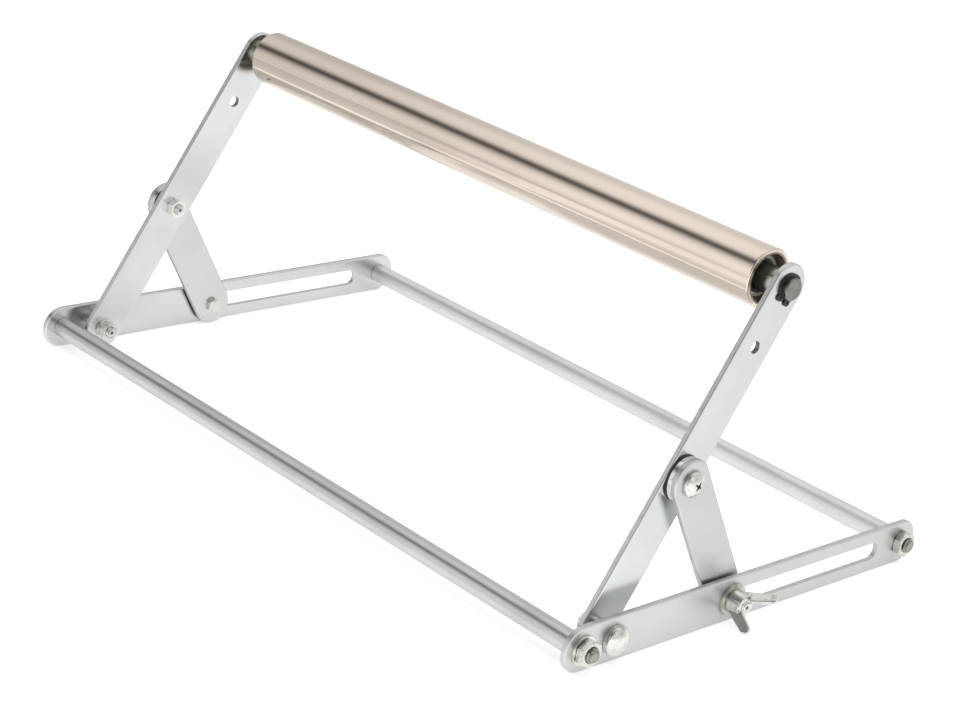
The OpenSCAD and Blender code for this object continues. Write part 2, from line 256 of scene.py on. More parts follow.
@dataclass(frozen=True)
class Layer:
    """One layer of soft noise in a finish.

    scale counts waves to the metre, detail the finer layers in it, and detail_share their
    strength. stretch is the scale along each axis. gloss is what the layer adds to the roughness:
    as a swing about its middle or, where it has an edge, rising over that edge. relief is its
    height in the bumps. A turned layer lies in rings round an axis along X.
    """

    scale: float
    detail: float = 3.0
    detail_share: float = 0.6
    stretch: Colour = (1.0, 1.0, 1.0)
    gloss: float = 0.0
    relief: float = 0.0
    edge: Edge | None = None
    turned: bool = False


@dataclass(frozen=True)
class Finish:
    """A surface finish: two tones that its first layer mixes, and the marks of all its layers.

    tone_edge is where the second tone sets in. bump has the bumps' strength and their height in
    metres. lean and move turn and shift the marks, so that they follow a piece.
    """

    name: str
    slot: str
    tone: Colour
    second_tone: Colour
    rough: float
    layers: tuple[Layer, ...]
    tone_edge: Edge
    bump: Edge
    metallic: float = 1.0
    lean: float = 0.0
    move: Colour = (0.0, 0.0, 0.0)

    def material(self) -> bpy.types.Material:
        """Makes the finish as a material.

        Returns:
            The material, which may have been made before.
        """
        known = bpy.data.materials.get(self.name)
        if known is not None and known.get("stand_finish"):
            return known
        made = bpy.data.materials.new(self.name)
        made["stand_finish"] = True
        made.use_nodes = True
        graph = Graph(made.node_tree)
        noises = [self._noise(graph, layer) for layer in self.layers]
        rough: Any = self.rough
        height: Any = 0.0
        for layer, noise in zip(self.layers, noises):
            if layer.gloss:
                swing = noise.between(*layer.edge) if layer.edge else noise - 0.5
                rough = swing * layer.gloss + rough
            if layer.relief:
                height = noise * layer.relief + height
        strength, distance = self.bump
        shader = graph.node("ShaderNodeBsdfPrincipled", None, {
            "Base Color": graph.mix(noises[0].between(*self.tone_edge), self.tone, self.second_tone),
            "Metallic": self.metallic,
            "Roughness": rough,
            "Normal": graph.node(
                "ShaderNodeBump", None, {"Strength": strength, "Distance": distance, "Height": height}
            ),
        })
        graph.show("ShaderNodeOutputMaterial", shader)
        return made

    def _noise(self, graph: Graph, layer: Layer) -> Value:
        """One layer's noise, from 0 to 1.

        Args:
            graph: The material's tree.
            layer: The layer.

        Returns:
            The noise as a value.
        """
        point = graph.place(-self.lean, self.move, layer.stretch)
        if layer.turned:
            flat = graph.vector("MULTIPLY", point, (0.0, 1.0, 1.0))
            radius = graph.vector("LENGTH", flat, output="Value")
            point = graph.node("ShaderNodeCombineXYZ", None, {0: radius, 1: graph.split(point, 0)})
        return graph.node("ShaderNodeTexNoise", {"noise_dimensions": "3D"}, {
            "Vector": point, "Scale": layer.scale, "Detail": layer.detail, "Roughness": layer.detail_share,
        })


# Bright zinc on cold-rolled strip: clouds in the zinc, lines from the rolls, grain and scuffs
ZINC_STRIP = Finish(
    "zinc_strip", "zinc_strip", (0.69, 0.695, 0.70), (0.65, 0.675, 0.67), 0.22,
    (
        Layer(42.0, 4.0, 0.55, gloss=0.10),
        Layer(1500.0, 2.0, stretch=(1.0, 0.02, 1.0), gloss=0.10, relief=0.6),
        Layer(2600.0, 2.0, 0.5, relief=0.4),
        Layer(210.0, 5.0, 0.7, (1.0, 0.25, 1.0), gloss=0.05, edge=(0.56, 0.72)),
    ),
    (0.36, 0.66), (0.18, 0.00003),
)
# Zinc on small pieces: tarnish in patches a few millimetres wide, and a fine grain
FASTENER = Finish(
    "zinc_fastener_bright", "zinc_fastener", (0.74, 0.75, 0.71), (0.46, 0.46, 0.40), 0.17,
    (Layer(260.0, 4.0, gloss=0.2, relief=1.0), Layer(1900.0, 3.0, 0.55, gloss=0.08, relief=1.0)),
    (0.48, 0.78), (0.25, 0.00005),
)
NUT_FINISH = replace(
    FASTENER, name="zinc_nut_bright", tone=(0.67, 0.68, 0.63), second_tone=(0.38, 0.38, 0.32), rough=0.2
)
# Painted light: a paler copy of the nut finish for the struts' inner nuts, standing in for the light that
# washes them out
INNER_NUT_PAINTED_LIGHT = replace(
    FASTENER, name="zinc_nut_painted_light", tone=(0.95, 0.96, 0.92), second_tone=(0.82, 0.83, 0.78), rough=0.32
)
# Painted shade: the rod studs' threads beyond the washers are painted dark
BOLT_THREAD_PAINTED_SHADE = replace(
    FASTENER, name="bolt_thread_painted_shade", tone=(0.36, 0.36, 0.31), second_tone=(0.16, 0.155, 0.125), rough=0.36
)
# Painted shade: the walls of the spare holes and of the pits in bolt tips, painted dark
BORE_PAINTED_SHADE = replace(
    FASTENER, name="bore_wall_painted_shade", tone=(0.22, 0.22, 0.20), second_tone=(0.12, 0.12, 0.11), rough=0.4
)
# Painted shade: the cross recess in the strut screws' heads, painted dark
RECESS_PAINTED_SHADE = replace(
    FASTENER, name="cross_recess_painted_shade", tone=(0.33, 0.32, 0.29), second_tone=(0.20, 0.19, 0.17), rough=0.4
)
WASHER_FINISH = replace(
    FASTENER, name="zinc_washer_dull", tone=(0.56, 0.56, 0.51), second_tone=(0.34, 0.34, 0.29), rough=0.26
)
WING_NUT_FINISH = replace(
    FASTENER, name="wing_nut_cast", tone=(0.75, 0.75, 0.72), second_tone=(0.46, 0.45, 0.41), rough=0.2,
    layers=(FASTENER.layers[0], replace(FASTENER.layers[1], scale=900.0)), bump=(0.25, 0.0001),
)
BALL_FINISH = replace(
    FASTENER, name="bearing_ball_steel", slot="bearing_steel", tone=(0.8, 0.8, 0.81), rough=0.12
)
# Bright drawn bar: dull patches in the plating, and lines along it from the die
DRAWN_BAR = Finish(
    "drawn_rod_bright", "rod_steel", (0.60, 0.61, 0.605), (0.54, 0.55, 0.545), 0.31,
    (
        Layer(70.0, 4.0, stretch=(0.35, 1.0, 1.0), gloss=0.12, relief=0.3),
        Layer(1700.0, stretch=(0.012, 1.0, 1.0), gloss=0.12, relief=1.0),
    ),
    (0.42, 0.7), (0.2, 0.00003),
)
# Painted light: the rear rod is the same drawn steel, rougher, with a tone painted lighter than the front
# rod's
DULL_BAR_PAINTED_LIGHT = replace(
    DRAWN_BAR, name="drawn_rod_dull_painted_light", tone=(0.80, 0.81, 0.80), second_tone=(0.74, 0.75, 0.74), rough=0.45
)
# Steel turned on a lathe: light patches, and rings round an axis that each piece gives
TURNED_STEEL = Finish(
    "turned_axle", "axle_steel", (0.22, 0.21, 0.20), (0.31, 0.30, 0.285), 0.30,
    (Layer(180.0, gloss=0.14), Layer(3400.0, 2.0, gloss=0.14, relief=1.0, turned=True)),
    (0.4, 0.72), (0.25, 0.00004),
)
# Polished nickel on the roller: smears along it, hairlines round it, and faint marks
POLISHED_TUBE = Finish(
    "polished_tube", "polished_tube", (0.80, 0.70, 0.61), (0.74, 0.643, 0.558), 0.10,
    (
        Layer(38.0, 4.0, stretch=(0.3, 1.0, 1.0), gloss=0.07),
        Layer(5200.0, 2.0, stretch=(1.0, 0.03, 0.03), gloss=0.06, relief=1.0),
        Layer(900.0, stretch=(1.0, 0.5, 0.5), gloss=0.05, relief=0.4, edge=(0.62, 0.8)),
    ),
    (0.4, 0.7), (0.12, 0.00002),
)
# A dark, slightly uneven skin, as of moulded plastic: worn patches, and a fine grain. On the strut pivots'
# shims it is painted shade: black where the gap between arm and disc is in shade.
BLACK_SKIN_AND_GAP_SHADE = Finish(
    "black_shim_painted_shade", "black_bush", (0.012, 0.012, 0.012), (0.035, 0.034, 0.032), 0.45,
    (Layer(420.0, 4.0, 0.65, gloss=0.2, relief=0.6), Layer(2400.0, gloss=0.1, relief=1.0)),
    (0.5, 0.78), (0.35, 0.00004), metallic=0.0,
)
BUSH_FINISH = replace(
    BLACK_SKIN_AND_GAP_SHADE, name="bush_dark_olive", tone=(0.040, 0.037, 0.027), second_tone=(0.085, 0.08, 0.06),
    rough=0.42,
)
RING_OXIDE = replace(BLACK_SKIN_AND_GAP_SHADE, name="black_ring_oxide", slot="black_ring", rough=0.36)
SEAL_RUBBER = replace(BLACK_SKIN_AND_GAP_SHADE, name="seal_rubber_black", slot="seal_rubber", rough=0.55)


@dataclass(frozen=True)
class StripLooks:
    """Looks of the two strips of one kind: the zinc on each, and their duller cut edges.

    Each side has its strip's tone and that of the clouds in it; the left strip's tones are painted lighter
    than the right one's, as painted light and shade. move shifts the marks on the right strip, and its part
    along X is turned round for the left one.
    """

    kind: str
    tones: dict[Side, tuple[Colour, Colour]]
    rough: dict[Side, float]
    move: Colour
    edge_tone: Colour
    edge_shade: float = 0.88

    def face(self, side: Side, lean: float = 0.0) -> Finish:
        """The zinc on one strip, in the tone of its side: painted lighter on the left, darker on the right.

        Args:
            side: The strip's side.
            lean: The strip's lean in radians, which the lines from the rolls follow.

        Returns:
            The finish.
        """
        tone, cloud_tone = self.tones[side]
        x, y, z = self.move
        return replace(
            ZINC_STRIP, name=f"zinc_strip_{self.kind}_{side.word}", tone=tone, second_tone=cloud_tone,
            rough=self.rough[side], lean=lean, move=(side.value * x, y, z),
        )

    def edge(self, lean: float = 0.0) -> Finish:
        """The cut edges: soft clouds, and marks across them from the shear.

        Args:
            lean: The strip's lean in radians.

        Returns:
            The finish.
        """
        clouds = Layer(160.0, 3.0, 0.5, relief=0.5)
        marks = Layer(1300.0, stretch=(0.12, 1.0, 1.0), gloss=0.22, relief=1.0)
        shade = tuple(self.edge_shade * part for part in self.edge_tone)
        return Finish(
            f"zinc_edge_{self.kind}", "zinc_strip", self.edge_tone, shade, 0.36, (clouds, marks),
            (0.35, 0.7), (0.3, 0.00006), lean=lean,
        )


# In the bars, arms and struts, the left strip's tones are painted lighter than the right one's: painted light
# and shade on one zinc
BARS = StripLooks(
    "bar",
    {
        Side.LEFT: ((0.72, 0.715, 0.72), (0.685, 0.705, 0.70)),
        Side.RIGHT: ((0.665, 0.67, 0.665), (0.645, 0.665, 0.655)),
    },
    {Side.LEFT: 0.24, Side.RIGHT: 0.42}, (-0.31, 0.0, 0.0), (0.62, 0.63, 0.625),
)
ARMS = StripLooks(
    "arm",
    {
        Side.LEFT: ((0.755, 0.76, 0.765), (0.715, 0.74, 0.735)),
        Side.RIGHT: ((0.70, 0.705, 0.71), (0.66, 0.685, 0.68)),
    },
    {Side.LEFT: 0.22, Side.RIGHT: 0.22}, (0.17, 0.05, 0.0), (0.69, 0.70, 0.695),
)
STRUTS = StripLooks(
    "strut",
    {
        Side.LEFT: ((0.675, 0.69, 0.685), (0.65, 0.67, 0.66)),
        Side.RIGHT: ((0.625, 0.645, 0.64), (0.60, 0.625, 0.615)),
    },
    {Side.LEFT: 0.22, Side.RIGHT: 0.38}, (0.4, -0.2, 0.1), (0.57, 0.58, 0.575),
)


# Mesh shapes


@dataclass(frozen=True)
class RoundEnded:
    """A round-ended outline along a strip; a circle where both ends are the same.

    start and end are the distances of the end arcs' centres along the strip.
    """

    start: float
    end: float
    radius: float
    steps: int = ROUND_STEPS
    square: bool = False

    def loop(self, form: "Form", x: float, grow: float) -> list[BMEdge]:
        """Draws the outline as a ring of edges.

        Args:
            form: The form to draw in.
            x: The plane to draw on.
            grow: How far outside the outline the ring lies.

        Returns:
            The ring's edges.
        """
        count = 4 if self.square else self.steps
        radius = (self.radius + grow) * (math.sqrt(2) if self.square else 1.0)
        half_step = Matrix.Rotation(math.pi / count, 4, "Z")
        place = Matrix.Translation((x, self.start, 0)) @ FACING_X @ half_step
        made = bmesh.ops.create_circle(form.bm, cap_ends=False, segments=count, radius=radius, matrix=place)
        far = [vert for vert in made["verts"] if vert.co.y > self.start + TINY]
        if self.end > self.start:
            bmesh.ops.translate(form.bm, verts=far, vec=(0, self.end - self.start, 0))
        return list({edge for vert in made["verts"] for edge in vert.link_edges})


@dataclass(frozen=True)
class Rim:
    """The rounding of a plate's rim: its reach along the face and down the edge."""

    reach: float = 0.3
    drop: float = 0.3
    steps: int = 2

    def rings(self, plane: float, down: int) -> list[tuple[float, float]]:
        """Planes and insets of the rings that round the rim, from the face to the edge.

        Args:
            plane: The plane of the face.
            down: 1 where the plate lies above that plane, and -1 where it lies below.

        Returns:
            Pairs of plane and inset.
        """
        quarter = [math.pi / 2 * number / self.steps for number in range(self.steps + 1)]
        return [
            (plane + down * self.drop * (1 - math.cos(a)), self.reach * (1 - math.sin(a))) for a in quarter
        ]


def round_hole(place: float, radius: float, steps: int = HOLE_STEPS) -> RoundEnded:
    """A round hole at one place along a strip."""
    return RoundEnded(place, place, radius, steps)


# The strip's cut edge: its burred rim, the rim that the shear rolled over, and a hole's rim
BURRED = Rim(0.35, 0.25, 3)
ROLLED = Rim(1.2, 0.9, 6)
PUNCHED = Rim()


@dataclass(frozen=True)
class Thread:
    """A bolt's thread.

    radius is over the crests, shank that of the plain part and pit that of the centre pit that
    turning leaves in the tip, or 0. chamfer is the tip's.
    """

    radius: float
    shank: float
    pitch: float
    chamfer: float
    pit: float = 0.0


class Form:
    """A mesh in millimetres that bmesh operators shape."""

    def __init__(self) -> None:
        """Starts an empty mesh."""
        self.bm = bmesh.new()

    def plate(
        self, low: float, high: float, outline: RoundEnded, openings: Sequence[RoundEnded],
        rims: tuple[Rim, Rim],
    ) -> "Form":
        """Cuts a plate from strip that lies in the YZ plane.

        Args:
            low: Plane of its inner face.
            high: Plane of its outer face.
            outline: Its outline.
            openings: Its holes and slots.
            rims: Rounding of the outline's edges on the inner and the outer face.

        Returns:
            This form.
        """
        first: list[BMEdge] = []
        last: list[BMEdge] = []
        shapes = [(outline, -1, rims), *[(hole, 1, (PUNCHED, PUNCHED)) for hole in openings]]
        for shape, sign, (inner, outer) in shapes:
            levels = inner.rings(low, 1) + outer.rings(high, -1)[::-1]
            rings = [shape.loop(self, x, sign * inset) for x, inset in levels]
            for lower, upper in zip(rings, rings[1:]):
                bmesh.ops.bridge_loops(self.bm, edges=lower + upper)
            first += rings[0]
            last += rings[-1]
        for ring, normal in ((first, (-1, 0, 0)), (last, (1, 0, 0))):
            bmesh.ops.triangle_fill(self.bm, use_beauty=True, edges=ring, normal=normal)
        return self

    def turn(
        self, corners: Sequence[tuple[float, float]], closed: bool = False, steps: int = ROUND_STEPS
    ) -> list[BMVert]:
        """Spins an outline about the X axis.

        Args:
            corners: Pairs of place along X and radius.
            closed: Whether the last corner joins the first, as for a ring.
            steps: Number of steps in the full turn.

        Returns:
            The new corners of the mesh.
        """
        before = set(self.bm.verts)
        points = [self.bm.verts.new((x, 0, radius)) for x, radius in corners]
        pairs = list(zip(points, points[1:])) + ([(points[-1], points[0])] if closed else [])
        lines = [self.bm.edges.new(pair) for pair in pairs]
        bmesh.ops.spin(
            self.bm, geom=points + lines, cent=(0, 0, 0), axis=(1, 0, 0), dvec=(0, 0, 0),
            angle=math.tau, steps=steps, use_merge=True,
        )
        fresh = [vert for vert in self.bm.verts if vert not in before]
        bmesh.ops.remove_doubles(self.bm, verts=fresh, dist=TINY)
        return [vert for vert in self.bm.verts if vert not in before]

    def soften(
        self, offset: float, segments: int, chosen: Callable[[Vector], bool] = lambda middle: True,
        least: float = 25.0,
    ) -> "Form":
        """Bevels the edges at which the surface turns sharply.

        Args:
            offset: Width of the bevel.
            segments: Number of its facets.
            chosen: Picks edges by their middle.
            least: Smallest turn of the surface, in degrees, that counts as sharp.

        Returns:
            This form.
        """
        bmesh.ops.recalc_face_normals(self.bm, faces=self.bm.faces)
        limit = math.radians(least)
        sharp = [
            edge for edge in self.bm.edges
            if edge.is_manifold and edge.calc_face_angle(0.0) > limit
            and chosen((edge.verts[0].co + edge.verts[1].co) / 2)
        ]
        bmesh.ops.bevel(
            self.bm, geom=sharp, offset=offset, offset_type="OFFSET", affect="EDGES",
            segments=segments, profile=0.5, material=-1, clamp_overlap=True,
        )
        return self

    def threaded(self, start: float, end: float, thread: Thread) -> "Form":
        """Winds a screw thread round the X axis.

        Args:
            start: Where it starts.
            end: Where it ends.
            thread: The thread.

        Returns:
            This form.
        """
        pitch, crest = thread.pitch, thread.radius
        root = crest - THREAD_DEPTH_SHARE * pitch
        radii = (root, crest, crest, root)
        flanks = [(share * pitch, radius) for share, radius in zip(THREAD_FLANK_SHARES, radii)]
        corners = [(0.0, root - THREAD_SINK), *flanks, (pitch, root - THREAD_SINK)]
        points = [self.bm.verts.new((start + x, 0, radius)) for x, radius in corners]
        face = self.bm.faces.new(points)
        turns = (end - start - pitch) / pitch
        steps = round(turns * THREAD_STEPS)
        bmesh.ops.spin(
            self.bm, geom=[face, *face.edges, *points], cent=(0, 0, 0), axis=(1, 0, 0),
            dvec=(pitch * turns / steps, 0, 0), angle=math.tau * turns, steps=steps, use_merge=False,
        )
        return self

    def place(self, matrix: Matrix) -> "Form":
        """Moves the whole form."""
        bmesh.ops.transform(self.bm, matrix=matrix, verts=self.bm.verts)
        return self

    def on_side(self, side: Side) -> "Form":
        """Moves a form that was made for the right-hand side to this side."""
        return self.place(MIRRORED) if side is Side.LEFT else self

    def add(self, other: "Form") -> "Form":
        """Takes another form into this one.

        Args:
            other: The other form, which is used up.

        Returns:
            This form.
        """
        mesh = bpy.data.meshes.new("joined")
        other.bm.to_mesh(mesh)
        self.bm.from_mesh(mesh)
        bpy.data.meshes.remove(mesh)
        other.bm.free()
        return self

    def both_sides(self, seam: float = -1.0) -> "Form":
        """Adds the mirror image on the other side.

        Args:
            seam: Distance within which points on the middle plane are merged, or -1.

        Returns:
            This form.
        """
        geometry = [*self.bm.verts, *self.bm.edges, *self.bm.faces]
        bmesh.ops.mirror(self.bm, geom=geometry, matrix=Matrix.Identity(4), merge_dist=seam, axis="X")
        return self

    def modified(self, kind: str, **settings: Any) -> "Form":
        """Runs the form through one modifier.

        Args:
            kind: The modifier's type.
            **settings: Its properties.

        Returns:
            This form, with the result as its mesh.
        """
        holder = self.as_object("shaped")
        modifier = holder.modifiers.new("shaped", kind)
        for name, setting in settings.items():
            setattr(modifier, name, setting)
        evaluated = holder.evaluated_get(bpy.context.evaluated_depsgraph_get())
        mesh = bpy.data.meshes.new_from_object(evaluated)
        self.bm.clear()
        self.bm.from_mesh(mesh)
        bpy.data.objects.remove(holder)
        bpy.data.meshes.remove(mesh)
        return self

    def cut(self, cutter: "Form") -> "Form":
        """Takes another form's space out of this one.

        Args:
            cutter: The other form.

        Returns:
            This form.
        """
        tool = cutter.as_object("cutter")
        self.modified("BOOLEAN", operation="DIFFERENCE", solver="EXACT", use_self=True, object=tool)
        bpy.data.objects.remove(tool)
        return self

    def as_object(self, name: str) -> bpy.types.Object:
        """Puts the mesh in an object of its own.

        Args:
            name: The object's name.

        Returns:
            The object.
        """
        bmesh.ops.recalc_face_normals(self.bm, faces=self.bm.faces)
        mesh = bpy.data.meshes.new(name)
        self.bm.to_mesh(mesh)
        holder = bpy.data.objects.new(name, mesh)
        bpy.context.scene.collection.objects.link(holder)
        return holder

    def piece(
        self, name: str, body: str, finish: Finish, node: str, others: Sequence[tuple[Finish, FaceTest]] = ()
    ) -> None:
        """Makes the form a piece of the stand.

        Args:
            name: The piece's name.
            body: The body that it rides on.
            finish: Its finish.
            node: The CAD node that it stands for.
            others: More finishes, each with a test for its faces; a later one goes first.
        """
        for face in self.bm.faces:
            face.smooth = True
        bmesh.ops.recalc_face_normals(self.bm, faces=self.bm.faces)
        for number, (_, test) in enumerate(others, start=1):
            for face in self.bm.faces:
                if test(face):
                    face.material_index = number
        bmesh.ops.scale(self.bm, vec=(MM, MM, MM), verts=self.bm.verts)
        for edge in self.bm.edges:
            edge.smooth = not (edge.is_manifold and edge.calc_face_angle(0.0) > SHARP_ANGLE)
        made = self.as_object(name)
        for each in (finish, *[other for other, _ in others]):
            made.data.materials.append(each.material())
        made.modifiers.new("flat faces stay flat", "WEIGHTED_NORMAL").keep_sharp = True
        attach(made, body)
        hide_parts(node)
        LOG.info("%s: %d faces on %s, for %s", name, len(made.data.polygons), body, node)


def on_cut_edge(face: BMFace) -> bool:
    """Whether a plate's face lies on a cut edge, and not on the strip's own surface."""
    return abs(face.normal.x) < BORE_SLOPE


def in_bore(
    spot: Matrix, radius: float, slope: float = BORE_SLOPE, reach: Edge = (0.0, math.inf)
) -> FaceTest:
    """A test for the walls of a hole or recess.

    Args:
        spot: A place on its axis.
        radius: A radius that just holds it.
        slope: Largest part along X that its walls' normals have.
        reach: Its least and greatest distance from the stand's middle plane.

    Returns:
        The test.
    """
    axis = spot.translation.yz
    low, high = reach

    def test(face: BMFace) -> bool:
        """Whether a face lies on those walls."""
        middle, steep = face.calc_center_median(), abs(face.normal.x) < slope
        return steep and low <= abs(middle.x) < high and (middle.yz - axis).length < radius

    return test


def on_tip(x: float) -> FaceTest:
    """A test for faces that lie farther out than x."""
    return lambda face: abs(face.calc_center_median().x) > x


def rimmed_head(diameter: float, height: float, rim: float, rounding: float) -> Form:
    """A bolt head on the plane X = 0, with a straight rim under a rounded top.

    Args:
        diameter: Diameter of the head.
        height: Its whole height.
        rim: Height of the straight rim.
        rounding: Rounding of the edges of the rim.

    Returns:
        The head's form.
    """
    rise = height - rim
    ball = (diameter**2 / 4 + rise**2) / (2 * rise)
    reach = math.asin(diameter / 2 / ball)
    arc = [reach * number / CROWN_STEPS for number in range(CROWN_STEPS + 1)]
    crown = [(height - ball + ball * math.cos(a), ball * math.sin(a)) for a in arc]
    form = Form()
    form.turn([*crown, (0, diameter / 2), (0, 0)])
    return form.soften(rounding, 5, lambda middle: middle.x < rim + 0.1)


def hex_nut(across_flats: float, height: float, bore: float) -> Form:
    """A chamfered hexagon nut that stands on the plane X = 0, with its corners up and down.

    Args:
        across_flats: Width over two flats.
        height: Height along X.
        bore: Radius of its hole, or 0 for a solid head.

    Returns:
        The nut's form.
    """
    flat = across_flats / 2
    corner = flat / math.cos(math.pi / 6)
    face = flat * NUT_FACE_SHARE
    rise = (corner - face) * NUT_RISE_SHARE
    outside = [(0, face), (rise, corner), (height - rise, corner), (height, face)]
    form = Form()
    if bore:
        dip = min(NUT_DIP, bore * NUT_DIP_SHARE)
        inside = [(height, bore + dip), (height - dip, bore), (dip, bore), (0, bore + dip)]
        fresh = form.turn(outside + inside, closed=True, steps=NUT_STEPS)
    else:
        fresh = form.turn([(0, 0), *outside, (height, 0)], steps=NUT_STEPS)
    for vert in fresh:
        radius = math.hypot(vert.co.y, vert.co.z)
        if radius < face + TINY:
            continue
        angle = math.atan2(vert.co.y, vert.co.z)
        cosines = (math.cos(angle - math.pi / 6 - flats * math.pi / 3) for flats in range(3))
        wanted = flat * sum(abs(cosine) ** NUT_CORNER_POWER for cosine in cosines) ** (-1 / NUT_CORNER_POWER)
        fall = (corner - wanted) * NUT_RISE_SHARE
        vert.co.x += -fall if vert.co.x < height / 2 else fall
        vert.co.y *= wanted / radius
        vert.co.z *= wanted / radius
    return form


def washer(outer: float, bore: float, thickness: float) -> Form:
    """A pressed washer on the plane X = 0.

    Args:
        outer: Outer diameter.
        bore: Radius of its hole.
        thickness: Thickness along X.

    Returns:
        The washer's form.
    """
    form = Form()
    form.turn([(0, bore), (0, outer / 2), (thickness, outer / 2), (thickness, bore)], closed=True)
    return form.soften(min(WASHER_ROUNDING, thickness / 4), 3)


def shaft(start: float, grip: float, end: float, thread: Thread, lap: float = LAP) -> Form:
    """A plain shank with a threaded and chamfered end, along X.

    Args:
        start: Where the shank starts.
        grip: Where the thread starts.
        end: The tip.
        thread: The thread.
        lap: How far the shank reaches into the thread.

    Returns:
        The shaft's form.
    """
    form = Form()
    form.turn([(start, 0), (start, thread.shank), (grip + lap, thread.shank), (grip + lap, 0)])
    core = thread.radius - THREAD_DEPTH_SHARE * thread.pitch
    cone = [(end - thread.chamfer, core), (end, core - thread.chamfer)]
    tip = [(end, thread.pit), (end - PIT_DEPTH_SHARE * thread.pit, 0)] if thread.pit else [(end, 0)]
    form.turn([(grip, 0), (grip, core), *cone, *tip])
    return form.threaded(grip, end - THREAD_RUNOUT_SHARE * thread.pitch, thread)


def place_pairs(body: str, rows: Sequence[tuple[Any, ...]]) -> None:
    """Makes pieces that are on both sides of the stand.

    Args:
        body: The body that they ride on.
        rows: The name, CAD node, finish, form and right-hand place of each, and then any more
            finishes with the tests for their faces.
    """
    for name, node, finish, form, spot, *others in rows:
        form.place(spot).both_sides().piece(name, body, finish, node, others)


# Sizes


@dataclass(frozen=True)
class Sizes:
    """Sizes that several sub-assemblies share, in millimetres."""

    frame_width: float = 450.0
    rod_spacing: float = 252.0
    strip_width: float = 25.0
    strip: float = 3.0
    foot_offset: float = 22.0
    arm_length: float = 193.0
    link: float = 85.0
    lean: float = 59.0
    disc: float = 2.6
    shim: float = 1.4
    washer: float = 1.6
    axle_radius: float = 6.0
    bolt: Thread = Thread(3.0, 2.95, 1.0, 0.24, 1.1)
    bolt_tip: float = 1.5
    nut_flats: float = 10.0
    nut_height: float = 5.0
    # Gaps round a bolt in a close hole and in a wide one, and between stacked faces
    fit: float = 0.05
    clearance: float = 0.2
    play: float = 0.02

    @property
    def lean_angle(self) -> float:
        """Lean of the arms in radians."""
        return math.radians(self.lean)

    @property
    def front(self) -> float:
        """Y of the front rod."""
        return -self.rod_spacing / 2

    @property
    def rear(self) -> float:
        """Y of the rear rod."""
        return self.rod_spacing / 2

    @property
    def foot(self) -> float:
        """Y of the arms' foot pivot."""
        return self.front + self.foot_offset

    @property
    def slot_bolt(self) -> float:
        """Y of the slot bolts."""
        return self.foot + 2 * self.link * math.cos(self.lean_angle)

    @property
    def bar_out(self) -> float:
        """X of the bars' outer faces."""
        return self.frame_width / 2

    @property
    def bar_in(self) -> float:
        """X of the bars' inner faces."""
        return self.bar_out - self.strip

    @property
    def strut_out(self) -> float:
        """X of the struts' outer faces."""
        return self.bar_in - self.washer

    @property
    def strut_in(self) -> float:
        """X of the struts' inner faces."""
        return self.strut_out - self.strip

    @property
    def disc_in(self) -> float:
        """X of the inner faces of the discs behind the struts."""
        return self.strut_in - self.disc

    @property
    def arm_out(self) -> float:
        """X of the arms' outer faces."""
        return self.disc_in - self.shim

    @property
    def arm_in(self) -> float:
        """X of the arms' inner faces."""
        return self.arm_out - self.strip

    @property
    def bore(self) -> float:
        """Radius of a close hole for a bolt."""
        return self.bolt.radius + self.fit

    @property
    def wide_bore(self) -> float:
        """Radius of a wide hole for a bolt."""
        return self.bolt.radius + self.clearance

    @property
    def turned_steel(self) -> Finish:
        """Turned steel with its rings round the axle."""
        spot = self.on_arm(self.arm_length).translation
        return replace(TURNED_STEEL, move=(0.0, -spot.y * MM, -spot.z * MM))

    def bearing_steel(self, name: str, tone: Colour, light_tone: Colour, rough: float) -> Finish:
        """Turned steel of a bearing, in tones of its own."""
        own = {"name": name, "tone": tone, "second_tone": light_tone, "rough": rough}
        return replace(self.turned_steel, slot="bearing_steel", **own)

    def on_base(self, y: float, x: float = 0.0) -> Matrix:
        """A place on the bars' centre line."""
        return Matrix.Translation((x, y, self.strip_width / 2))

    def on_arm(self, distance: float, x: float = 0.0) -> Matrix:
        """A place along the arm from its foot pivot, turned as the arm leans."""
        lean = Matrix.Rotation(self.lean_angle, 4, "X")
        return self.on_base(self.foot, x) @ lean @ Matrix.Translation((0, distance, 0))

    def nut(self) -> Form:
        """A hexagon nut for a bolt."""
        return hex_nut(self.nut_flats, self.nut_height, self.bore)

    def pit(self, spot: Matrix, reach: Edge = (0.0, math.inf)) -> tuple[Finish, FaceTest]:
        """The painted shade of the pit in a bolt's tip, a dark finish, with the test for its faces."""
        return BORE_PAINTED_SHADE, in_bore(spot, self.bolt.pit, PIT_SLOPE, reach)


# Sub-assemblies


